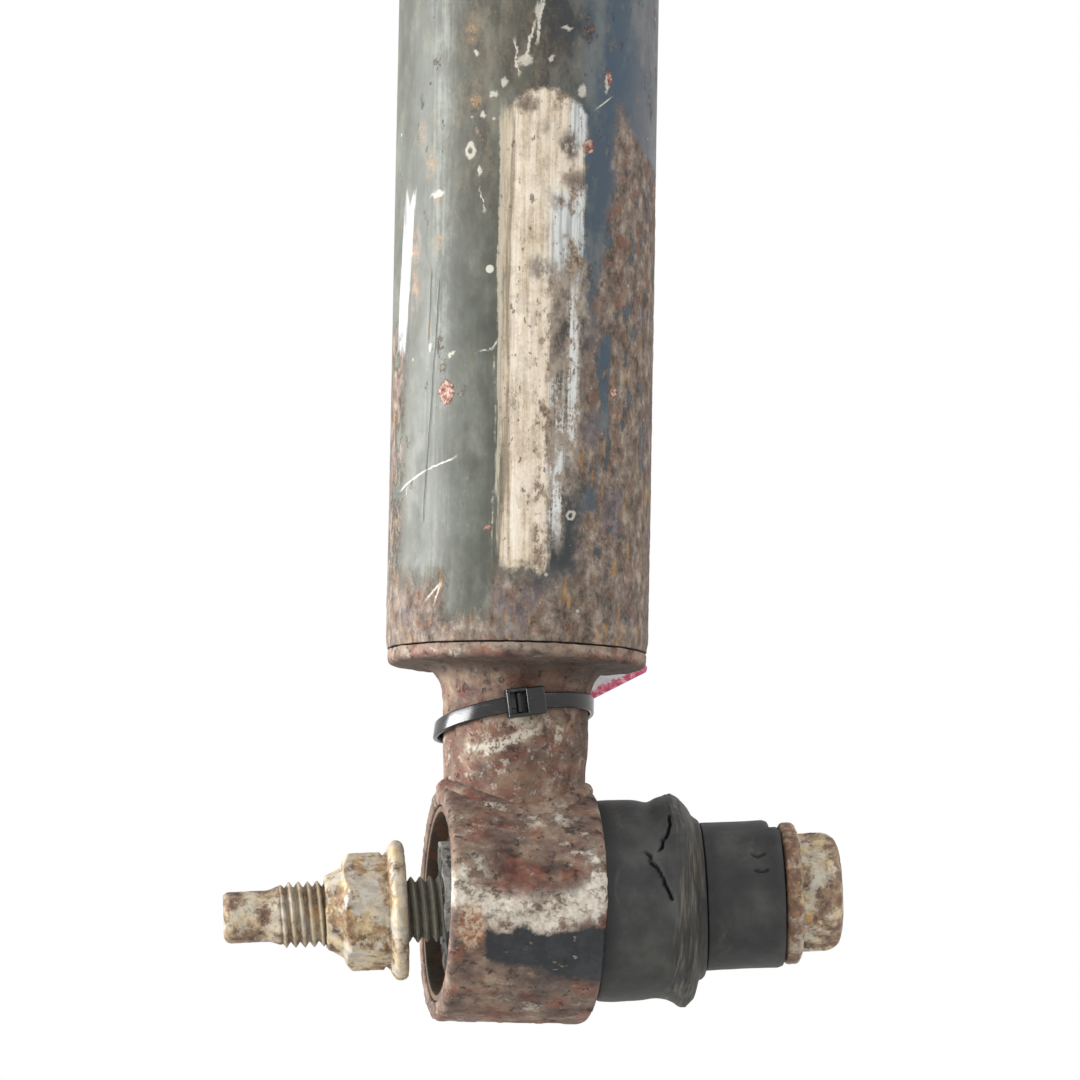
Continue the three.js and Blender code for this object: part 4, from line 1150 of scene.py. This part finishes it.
def jagged(points, amount, seed):
    """A line of points with a torn edge's small steps between them."""
    rng = np.random.default_rng(seed)
    line = [points[0]]
    for start, end in zip(points, points[1:]):
        for share in (0.33, 0.66, 1):
            shake = rng.normal(0, amount, 2) * (share < 1)
            line.append((start[0] + (end[0] - start[0]) * share + shake[0],
                         start[1] + (end[1] - start[1]) * share + shake[1]))
    return line


# Tears in the collar as (height along the bolt, arc up from the front).
UPPER_TEAR = jagged([(33.9, 18.4), (33.7, 15.2), (32.6, 12.2), (30.9, 9.6)], 0.25, 5)
LOWER_TEAR = jagged([(27.8, 9.4), (29.6, 6.2), (31.2, 3.4), (32.6, -1.2)], 0.2, 6)
FLAP_ARC = 8.5


def make_collar(finish):
    neck, crest, end = 21.2, 22.6, span_mm("bush_rubber_collar", BOLT_PLACE)[1]
    start = EYE_HALF + 0.4
    line = rounded([
        (17.6, start + 0.2), (neck, start, 1), (neck + 0.35, 20, 3), (neck + 0.2, 26.5, 3),
        (neck - 0.3, 29.8, 2), (crest - 0.6, 32.8, 1), (crest, 34.5, 1), (crest - 0.3, 35.9, 0.8),
        (crest - 1.3, 37.1, 0.8), (19.6, 38.1, 0.8), (17.6, 38.9, 0.8), (16.5, end, 0.3), (14.8, end),
        (14.8, 30), (17.6, 24),
    ], lambda radius, height: 0.34 if radius > 17.9 or height > 37 else 2)
    sides = 336
    tear_shade_marks = {}

    def shape(radius, height, angle):
        turn = np.where(angle > math.pi, angle - TURN, angle)
        arc = turn * neck
        spots = np.stack([height, radius * np.cos(angle), radius * np.sin(angle)], -1).reshape(-1, 3)
        lumps = (ripple(spots, 12, 3, 51) * 0.35).reshape(height.shape)
        drawn = spots * [3.2, 0.22, 0.22]
        ridges = (ripple(drawn, 2.4, 3, 52)).reshape(height.shape)
        on_lip = smooth(height, 31.5, 34) * smooth(radius, 15.5, 17)
        outside = np.where(height < 36, smooth(radius, 17.8, 19), smooth(radius, 15, 16))
        upper = distance_to_line(height, arc, UPPER_TEAR)
        lower = distance_to_line(height, arc, LOWER_TEAR)
        tear = np.minimum(upper, lower)
        open_upper = smooth(upper, 0.42, 0.1)
        open_lower = smooth(lower, 0.38, 0.08)
        cut = np.maximum(open_upper, open_lower) * outside
        # where the tears open, marked so the finish paints shade into them
        tear_shade_marks["split"] = cut.ravel()
        behind_tear = smooth(height - (29.2 + np.abs(arc - FLAP_ARC) * 0.28), 0, 1)
        flap = behind_tear * smooth(np.abs(arc - FLAP_ARC), 11, 7) * smooth(tear, 5, 0.3)
        on_bead = smooth(height, 28, 32) * smooth(height, 38.8, 36.8) * outside
        shifted = height - 0.55 * np.sin(turn) * on_bead
        ragged = (ripple(spots, 3, 3, 53)).reshape(height.shape)
        uneven = ridges * 0.34 + ragged * 0.3 - 0.3 * np.sin(turn)
        grown = radius + outside * (lumps * 0.6 + on_lip * uneven)
        low_tip = np.exp(-((turn + 1.48) / 0.12) ** 2 - ((height - 34.6) / 1.4) ** 2)
        grown = grown + 0.5 * flap * outside - 1.5 * cut + low_tip * 0.8
        top_dip = np.exp(-((turn - 1.5) / 0.5) ** 2 - ((height - 30) / 2) ** 2)
        return grown - top_dip * 0.35 * outside, shifted

    solid = turned(line, sides, "X", shape)
    collar = piece("bush_collar_rubber", solid, finish, "black_rubber", "bush_rubber_collar",
                   place=BOLT_PLACE, marks=tear_shade_marks)
    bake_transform(collar)


def make_boot(finish):
    start, end, radius = span_mm("bush_end_boot", BOLT_PLACE)
    start = span_mm("bush_rubber_collar", BOLT_PLACE)[1] + 0.2
    line = rounded([(14.6, start), (radius, start, 0.4), (radius - 0.05, (start + end) / 2),
                    (radius, end - 1.2, 0.4), (radius - 0.4, end, 0.5), (14.6, end)],
                   lambda r, h: 0.4 if r > 15 else 2)
    cuts = [jagged([(50.6, 8.6), (51.8, 7.7), (53.2, 8.3)], 0.12, 8),
            jagged([(51, 4.6), (52.3, 4.1), (53.6, 4.5)], 0.1, 9)]
    marks = {}

    def shape(radius, height, angle):
        turn = np.where(angle > math.pi, angle - TURN, angle)
        arc = turn * 15.75
        near = np.minimum(*[distance_to_line(height, arc, c) for c in cuts])
        cut = smooth(near, 0.36, 0.06) * (radius > 15)
        # where the cuts open, marked so the finish paints shade into them
        marks["split"] = cut.ravel()
        spots = np.stack([height, radius * np.cos(angle), radius * np.sin(angle)], -1).reshape(-1, 3)
        lumps = ripple(spots, 9, 3, 55).reshape(height.shape)
        edge = ripple(spots, 4, 3, 56).reshape(height.shape) * smooth(height, end - 2.5, end - 0.3)
        short = 2.1 * smooth(turn, 1.02, 1.16) * smooth(turn, 3.1, 2.6) * smooth(height, end - 8, end)
        return radius + (radius > 15) * (lumps * 0.2 + edge * 0.15) - cut * 0.7, height - short

    fitted("bush_inner", "bush_boot", turned(line, 260, "X", shape), finish, "black_rubber",
           "bush_end_boot", place=BOLT_PLACE, marks=marks)


# ------------------------------------------------------------------ bolt and nuts

BOLT_PITCH = 2.0
ROD_PITCH = 1.5
STUD_PITCH = 1.25
BOLT_ACROSS = 22


def make_bolt(finish):
    tip, head_end, flange_r = span_mm("pivot_bolt", BOLT_PLACE)
    face = span_mm("bush_inner_sleeve", BOLT_PLACE)[1] + 0.3
    thread_end = tip + 12.2
    core = 5.7
    line = rounded([
        (0.3, tip), (4.7, tip, 0.6), (5.45, tip + 0.9, 0.6), (5.45, thread_end - 2.4, 0.8),
        (6.3, thread_end - 0.2, 0.6), (core, thread_end + 0.8, 0.4), (core, -6), (7, -5), (7, face - 0.1),
        (flange_r - 0.7, face, 0.6), (flange_r, face + 0.6, 0.6), (flange_r, face + 2.9, 0.8),
        (12.6, face + 4.1, 1), (13, face + 4.6), (13, head_end - 4), (11.6, head_end - 0.9, 1.6),
        (9, head_end, 1.2), (0.3, head_end),
    ], lambda radius, height: 0.4 if height > face - 1 or height < thread_end else 2)

    def head(radius, height, angle):
        limit = np.where((height > face + 2) & (radius < 13.4), hex_radius(angle, BOLT_ACROSS, 85), NO_LIMIT)
        return soft_least(radius, limit), height

    body = turned(line, 240, "X", head, closed=False)
    shape = combined(body, thread(thread_end - 0.6, -5, 7.0, BOLT_PITCH))
    fitted("bolt", "through_bolt", shape, finish, "aged_zinc", "pivot_bolt", place=BOLT_PLACE, merge=True,
           relief=scaly(0.12, 3.4, 61))


def make_nut(finish):
    end, face, flange_r = span_mm("flange_nut", BOLT_PLACE)
    bore = 7.25
    hex_end = face - 13.3
    line = rounded([
        (bore, face, 0.3), (flange_r - 0.8, face, 0.7), (flange_r, face - 1, 0.6),
        (flange_r, face - 2.5, 0.8), (11.6, face - 4.6, 1), (12.9, face - 5.2),
        (12.9, hex_end + 1.6, 0.5), (11, hex_end + 0.2, 0.6), (9.6, hex_end - 0.2, 0.4),
        (7.9, end + 0.3, 0.5), (bore, end, 0.2),
    ], lambda radius, height: 0.38 if radius > 7.4 else 1.5)

    def outline(radius, height, angle):
        in_hex = (height < face - 3.6) & (height > hex_end - 0.4) & (radius < 13.2)
        limit = np.where(in_hex, hex_radius(angle, BOLT_ACROSS, 18), NO_LIMIT)
        crimp = 0
        for middle in (0.3, 2.4, 4.5):
            from_middle = (angle - middle + math.pi) % TURN - math.pi
            crimp = crimp + np.exp(-(from_middle / 0.2) ** 2)
        dent = 0.75 * crimp * smooth(height, hex_end - 0.6, end + 1.4) * (radius > bore + 0.2)
        return np.maximum(soft_least(radius, limit) - dent, bore), height

    fitted("nut", "lock_nut", turned(line, 240, "X", outline), finish, "aged_zinc", "flange_nut",
           place=BOLT_PLACE, relief=scaly(0.13, 3.2, 63))


# ------------------------------------------------------------------ cable tie and tag

TIE_Z, TIE_SLOPE_X, TIE_SLOPE_Y = 40, 0.148, -0.14
TIE_HEAD_AT = (-0.9, -18.3, 42.1)


def rounded_section(wide, tall, corner, steps=4):
    """Points round a rectangle with rounded corners."""
    spots = []
    for quarter, (side, up) in enumerate(((1, 1), (-1, 1), (-1, -1), (1, -1))):
        for i in range(steps + 1):
            turn = math.pi / 2 * (quarter + i / steps)
            spots.append((side * (wide / 2 - corner) + corner * math.cos(turn),
                          up * (tall / 2 - corner) + corner * math.sin(turn)))
    return np.array(spots)


def make_tie(finish):
    section = rounded_section(0.95, 3.4, 0.3)
    angle = np.arange(240) * TURN / 240
    signed = np.where(angle > math.pi, angle - TURN, angle)
    slack = np.exp(-((signed + 1.75) / 0.75) ** 2)
    reach = 16.2 + slack * 0.75
    x, y = reach * np.sin(angle), -reach * np.cos(angle)
    z = TIE_Z + TIE_SLOPE_X * x + TIE_SLOPE_Y * y - slack * 0.3
    twist = slack * 0.12
    wide, tall = section[:, :1], section[:, 1:]
    out = wide * np.cos(twist) - tall * np.sin(twist)
    up = wide * np.sin(twist) + tall * np.cos(twist)
    strap = np.stack([x + out * np.sin(angle), y - out * np.cos(angle), z + up], -1)
    strap = strap.reshape(-1, 3), grid_faces(len(section), len(angle), True)
    width, depth, height = 8.2, 4.4, 6.2
    rail = 0.85
    blocks = [
        block((4.0, depth, height - 0.3), (2.0, 0, 0), 0.5),
        block((width / 2 + 0.8, depth - 0.5, rail), (-1.7, 0, height / 2 - rail / 2), 0.3),
        block((width / 2 + 0.8, depth - 0.5, rail), (-1.7, 0, -height / 2 + rail / 2), 0.3),
        block((0.8, depth - 0.8, height), (-3.7, 0.1, 0), 0.3),
        block((width - 1, 1.1, height - 0.8), (-0.3, depth / 2 - 0.6, 0), 0.25),
        block((0.9, 1.5, height - 1.8), (-1.4, -0.1, 0), 0.25),
        block((1.5, 0.5, 2.4), (-2.6, 0.4, 0.1), 0.15),
    ]
    head_points, head_faces = combined(*blocks)
    lean = np.array(Matrix.Rotation(-math.atan(TIE_SLOPE_X), 3, "Y"))
    head = head_points @ lean.T + TIE_HEAD_AT, head_faces
    fitted("tie", "neck_tie", combined(strap, head), finish, "black_nylon", "cable_tie")


def make_tag(finish):
    """A flag label on the tie, bent up clear of the tube's rim."""
    length, height, thick = 36, 25, 0.42
    corner_x, corner_z, turn = 34.4, 53.4, math.radians(28)
    foot_y, foot_z, bend_z, slope = 17.6, 36.8, 52, 0.77
    columns, rows = 90, 66
    along, rise = np.meshgrid(np.linspace(-length + 0.4, -0.3, columns), np.linspace(0.2, height - 0.4, rows))
    round_off = 2.0
    from_end = np.maximum(along + round_off, 0) ** 2
    rise = np.clip(rise, round_off - np.sqrt(np.maximum(round_off ** 2 - from_end, 0)),
                   height - 0.4 - round_off + np.sqrt(np.maximum(round_off ** 2 - from_end, 0)))
    x = corner_x + along * math.cos(turn) - rise * math.sin(turn)
    z = corner_z + along * math.sin(turn) + rise * math.cos(turn)
    softness = 1.6
    lean = (z - foot_z) - softness * np.log1p(np.exp((z - bend_z) / softness))
    flat = np.stack([x, z, x * 0], -1).reshape(-1, 3)
    wrinkle = (ripple(flat, 14, 3, 71) * 0.28 + ripple(flat, 4, 2, 72) * 0.06).reshape(x.shape)
    y = foot_y + np.maximum(lean * slope, -0.2) + wrinkle * smooth(z, foot_z, foot_z + 8) + 0.1
    front = np.stack([x, y, z], -1).reshape(-1, 3)
    back = front + [0, thick, 0]
    quads = [q for q in grid_faces(rows, columns, False) if abs(q[0] - q[1]) == 1]
    count = len(front)
    faces = quads + [[i + count for i in reversed(q)] for q in quads]
    border = ([i for i in range(columns)] + [r * columns + columns - 1 for r in range(1, rows)]
              + [(rows - 1) * columns + i for i in range(columns - 2, -1, -1)]
              + [r * columns for r in range(rows - 2, 0, -1)])
    for here, after in zip(border, border[1:] + border[:1]):
        faces.append([here, after, after + count, here + count])
    heights = np.tile(rise.ravel(), 2)
    shape = np.vstack([front, back]), faces
    fitted("tag", "flag_label", shape, finish, "tag_film", "hang_tag", marks={"rise": heights}, merge=True)
    section = rounded_section(2.1, 4.6, 0.9, 5)
    turns = np.linspace(-0.28, 0.28, 24) + math.pi
    reach = 16.35
    x, y = reach * np.sin(turns), -reach * np.cos(turns)
    z = TIE_Z + TIE_SLOPE_X * x + TIE_SLOPE_Y * y
    outer = np.stack([x + section[:, :1] * np.sin(turns), y - section[:, :1] * np.cos(turns),
                      z + section[:, 1:]], -1)
    inner_section = section * 0.86
    inner = np.stack([x + inner_section[:, :1] * np.sin(turns), y - inner_section[:, :1] * np.cos(turns),
                      z + inner_section[:, 1:]], -1)
    wrap = np.concatenate([outer, inner[::-1]], axis=0).transpose(1, 0, 2)
    rim = len(section)
    columns = 2 * rim
    points = wrap.reshape(-1, 3)
    faces = []
    for i in range(len(turns) - 1):
        for j in range(rim):
            k = (j + 1) % rim
            faces.append([i * columns + j, i * columns + k, (i + 1) * columns + k, (i + 1) * columns + j])
            m, n = columns - 1 - j, columns - 1 - k
            faces.append([i * columns + m, (i + 1) * columns + m, (i + 1) * columns + n, i * columns + n])
    for i in (0, len(turns) - 1):
        for j in range(rim):
            k = (j + 1) % rim
            m, n = columns - 1 - j, columns - 1 - k
            faces.append([i * columns + p for p in (j, k, n, m)])
    fitted("tie", "label_wrap", (points, faces), finish, "tag_film",
           marks={"rise": np.full(len(points), 9.0)})


# ------------------------------------------------------------------ rod, cover and top mount

def make_upper(finishes):
    low, high, cap_r = span_mm("bump_cap", axis=2)
    line = rounded([(TUBE_R + 0.35, low), (cap_r, low, 0.5), (cap_r, high, 2.4), (11, high, 0.8),
                    (11, high - 2.6, 0.4), (TUBE_R + 0.35, high - 2.7, 1.2)], 1.1)
    fitted("damper", "tube_cap", turned(line, 160), finishes["coated"], "black_coating", "bump_cap",
           relief=lambda p: ripple(p, 9, 3, 81) * 0.06)

    low, high, cover_r = span_mm("dust_cover", axis=2)
    wall = 2

    def ribs(radius, height, angle):
        grooves = 0.45 * (np.cos((height - low) * TURN / 6.5) * 0.5 + 0.5) ** 6
        on_side = smooth(height, low + 6, low + 9) * smooth(height, high - 8, high - 11)
        return radius - grooves * on_side * (radius > cover_r - 3), height

    line = rounded([(cover_r - wall, low, 0.4), (cover_r, low, 0.5), (cover_r, low + 4, 0.4),
                    (cover_r - 0.5, low + 4.6, 0.3), (cover_r - 0.4, high - 6),
                    (cover_r - 0.6, high - 1, 4), (7.3, high, 0.4), (7.3, high - 1.7, 0.3),
                    (cover_r - 4, high - 1.8, 2), (cover_r - wall - 0.4, high - 6)],
                   lambda r, h: 0.8 if r > cover_r - 1.2 else 3)
    fitted("rod", "rod_dust_cover", turned(line, 200, shape=ribs), finishes["cover"], "cover_plastic",
           "dust_cover", relief=lambda p: ripple(p, 30, 2, 83) * 0.12)

    low, high, _ = span_mm("bump_stop", axis=2)
    tall = (high - low) / 3
    corners = [(10.4, low, 1)]
    for i, radius in enumerate((19, 21.5, 24)):
        foot = low + i * tall
        corners += [(radius - 3.8, foot + 0.6, 1.5), (radius, foot + tall * 0.3, 4),
                    (radius, foot + tall * 0.75, 4)]
    corners += [(21, high, 1), (10.4, high, 1)]
    fitted("rod", "foam_bump_stop", turned(rounded(corners, 0.9), 120), finishes["foam"], "foam",
           "bump_stop", relief=lambda p: ripple(p, 6, 3, 85) * 0.18)

    make_rod(finishes)
    make_mount(finishes)


def make_rod(finishes):
    low, high, rod_r = span_mm("piston_rod", axis=2)
    shoulder, seat = high - 59, low + 31
    core = 6.0
    line = rounded([(0.3, low), (5.2, low, 0.3), (6, low + 0.8, 0.2), (6, seat), (rod_r, seat, 0.4),
                    (rod_r, shoulder, 0.6), (7, shoulder, 0.3), (7, high - 26), (core, high - 25),
                    (core, high - 1.5), (5, high - 0.2, 0.4), (0.3, high - 0.2)],
                   lambda r, h: 1 if h > high - 30 else 6)
    shape = combined(turned(line, 96, closed=False),
                     thread(high - 26, high - 0.4, 7, ROD_PITCH, "Z", rows=12))
    fitted("rod", "chrome_rod", shape, finishes["chrome"], "hard_chrome", "piston_rod", merge=True)


def make_mount(finishes):
    low, high, _ = span_mm("mount_rubber", axis=2)
    plate_low, plate_high, plate_r = span_mm("mount_plate", axis=2)
    bore = 29
    line = rounded([(13.4, low + 2, 1), (15.5, low + 0.4, 1), (19, low + 0.5, 4),
                    (bore - 0.4, low + 3.4, 1), (bore - 0.4, plate_high - 0.6, 0.8), (25.5, high - 2, 3),
                    (21.5, high - 1.6, 1.2), (20.4, high - 2.6, 0.8), (19.4, high - 0.4, 1.2),
                    (15, high - 0.3, 2), (13.4, high - 1.5, 0.8)], 0.7)
    fitted("mount", "mount_rubber_ring", turned(line, 180), finishes["rubber"], "black_rubber",
           "mount_rubber", relief=lambda p: ripple(p, 8, 3, 91) * 0.1)

    line = rounded([(bore, plate_low, 0.5), (plate_r, plate_low, 1.4), (plate_r, plate_high, 1.4),
                    (bore, plate_high, 1.2)], lambda r, h: 1.0)

    def stiffened(radius, height, angle):
        """A shallow groove pressed into the top between the rubber and the studs."""
        on_top = (height > (plate_low + plate_high) / 2)
        swage = np.exp(-((radius - 37.2) / 1.6) ** 2) * 0.5
        return radius, height - swage * on_top

    plate = turned(line, 240, shape=stiffened)
    fitted("mount", "top_plate_disc", plate, finishes["coated"], "black_coating", "mount_plate",
           relief=lambda p: ripple(p, 16, 3, 92) * 0.08)

    can_low, can_high, can_r = span_mm("mount_can", axis=2)
    line = rounded([(bore, can_low, 0.5), (can_r - 3, can_low, 1.2), (can_r - 3, can_high - 3.4, 2.6),
                    (can_r, can_high, 0.5), (bore, can_high, 0.4)], 0.8)
    fitted("mount", "mount_cup", turned(line, 200), finishes["coated"], "black_coating", "mount_can",
           relief=lambda p: ripple(p, 10, 3, 93) * 0.06)

    for i in (1, 2, 3):
        stud_low, stud_high = box_mm(f"mount_stud_{i}")
        middle = (stud_low + stud_high) / 2 * [1, 1, 0]
        bottom, top = stud_low[2], stud_high[2]
        line = rounded([(0.3, bottom), (6.5, bottom, 0.9), (6.5, bottom + 3, 0.4), (4, bottom + 3.4, 0.3),
                        (4, plate_high + 1.5), (3.3, plate_high + 2.4), (3.3, top - 1.4), (2.8, top, 0.4),
                        (0.3, top)], lambda r, h: 0.7)
        points, faces = combined(turned(line, 64, closed=False),
                                 thread(plate_high + 1.6, top - 0.2, 4, STUD_PITCH, "Z", 64, 10))
        fitted("mount", f"press_stud_{i}", (points + middle, faces), finishes["stud_zinc"], "aged_zinc",
               f"mount_stud_{i}", merge=True)

    for name, node, sign in (("lower_cup_washer", "lower_washer", 1), ("upper_cup_washer", "top_washer", -1)):
        low, high, radius = span_mm(node, axis=2)
        near, far = (low, high) if sign > 0 else (high, low)
        line = rounded([(7.35, near, 0.3), (radius - 3, near, 2), (radius, far - sign * 0.5, 0.5),
                        (radius - 1.2, far, 0.5), (radius - 3.2, near + sign * 2.4, 1.2),
                        (7.35, near + sign * 2.4, 0.3)], 0.7)
        fitted("rod", name, turned(line, 140), finishes["washer_steel"], "plain_steel", node,
               relief=lambda p: ripple(p, 6, 3, 95) * 0.05)

    low, high, radius = span_mm("mount_inner_sleeve", axis=2)
    line = rounded([(7.35, low, 0.4), (radius, low, 0.5), (radius, high, 0.5), (7.35, high, 0.4)], 1.5)
    fitted("rod", "mount_spacer", turned(line, 96), finishes["dull_steel"], "plain_steel",
           "mount_inner_sleeve")

    low, high, flange_r = span_mm("top_nut", axis=2)
    line = rounded([(7.3, low, 0.3), (flange_r, low, 0.5), (flange_r, low + 1.5, 0.6),
                    (11.2, low + 3.4, 0.8), (12.4, low + 3.8), (12.4, high - 1.4, 0.6), (10.4, high, 0.6),
                    (8.2, high, 0.8), (7.3, high - 1)], 0.45)

    def hexagon(radius, height, angle):
        limit = np.where((height > low + 2.6) & (radius < 12.6), hex_radius(angle, 21, 10), NO_LIMIT)
        return soft_least(radius, limit), height

    fitted("rod", "rod_top_nut", turned(line, 180, shape=hexagon), finishes["stud_zinc"], "aged_zinc",
           "top_nut", relief=scaly(0.05, 3, 97))


# ------------------------------------------------------------------ hidden pieces keep their shapes

def dress_insides(finishes):
    looks = {
        "plain": ("pressure_tube", "base_valve_discs", "base_valve_pin", "base_check_plate",
                  "base_check_spring", "seal_retainer", "rebound_shims", "piston_nut",
                  "piston_check_plate", "piston_check_spring", "rebound_stop"),
        "sintered": ("base_valve_body", "rod_guide", "piston"),
        "bronze": ("rod_guide_bush", "piston_band"),
        "rubber": ("rod_seal", "rebound_bumper"),
    }
    for finish, nodes in looks.items():
        for node in nodes:
            for held in frame["nodes"][node].material_slots:
                held.material = finishes[finish]


def make_floor():
    count = 96
    ring = [(3 * math.cos(i * TURN / count), 3 * math.sin(i * TURN / count), FLOOR_Z) for i in range(count)]
    mesh = bpy.data.meshes.new("floor")
    mesh.from_pydata(ring, [], [list(range(count))])
    f = Finish("pale_floor", specular=0.2)
    mesh.materials.append(f.finish(f.blend(f.noise(400, detail=3), "e6e6e4", "ececea"), 0.9))
    floor = bpy.data.objects.new("floor", mesh)
    bpy.context.scene.collection.objects.link(floor)


# ------------------------------------------------------------------ the whole

add_camera()
add_studio()
make_floor()

FINISHES = {
    "dull_steel": steel("dull_steel", "6d6a66", "918d86", 301, rough=(0.5, 0.75), metallic=0.5, spotted=0.9),
    "shell_rust": steel("shell_rust", "4b413b", "6b5c51", 303, rough=(0.7, 0.9), metallic=0.1, spotted=1.0),
    "sleeve_steel": torn_sleeve("sleeve_steel", 306),
    "washer_steel": steel("washer_steel", "7b7a76", "a3a29c", 311, rough=(0.4, 0.6), metallic=0.7,
                          spotted=0.6),
    "plain": steel("plain_steel", "8b8b8a", "b4b4b2", 316),
    "chrome": steel("hard_chrome", "b9bcc0", "d5d7da", 321, rough=(0.1, 0.2), metallic=1.0),
    "bronze": steel("bronze", "7c6340", "a58656", 326, rough=(0.35, 0.55), metallic=0.8),
    "sintered": sintered("sintered_iron", 331),
    "core_rubber": plain_rubber("core_rubber", 341),
    "rubber": plain_rubber("mount_rubber_finish", 343),
    "collar_rubber": rubber("collar_rubber", 351, dusty=(31.2, 46)),
    "boot_rubber": rubber("boot_rubber", 361),
    "bolt_zinc": aged_zinc("bolt_zinc", 371, cream_from=0.475, threaded=True),
    "nut_zinc": aged_zinc("nut_zinc", 381, cream_from=0.42),
    "stud_zinc": aged_zinc("stud_zinc", 391, cream_from=0.44),
    "coated": coated_steel("coated_steel", 401),
    "cover": moulded("cover_plastic", "18181a", "242527", 411),
    "foam": cream_foam("bump_foam", 421),
}

make_tube(tube_paint())
make_base(forging_rust())
make_weld(plain_rust())
make_eye(eye_rust())
make_bush(FINISHES)
make_bolt(FINISHES["bolt_zinc"])
make_nut(FINISHES["nut_zinc"])
make_tie(nylon())
make_tag(tag_film())
make_upper(FINISHES)
dress_insides(FINISHES)
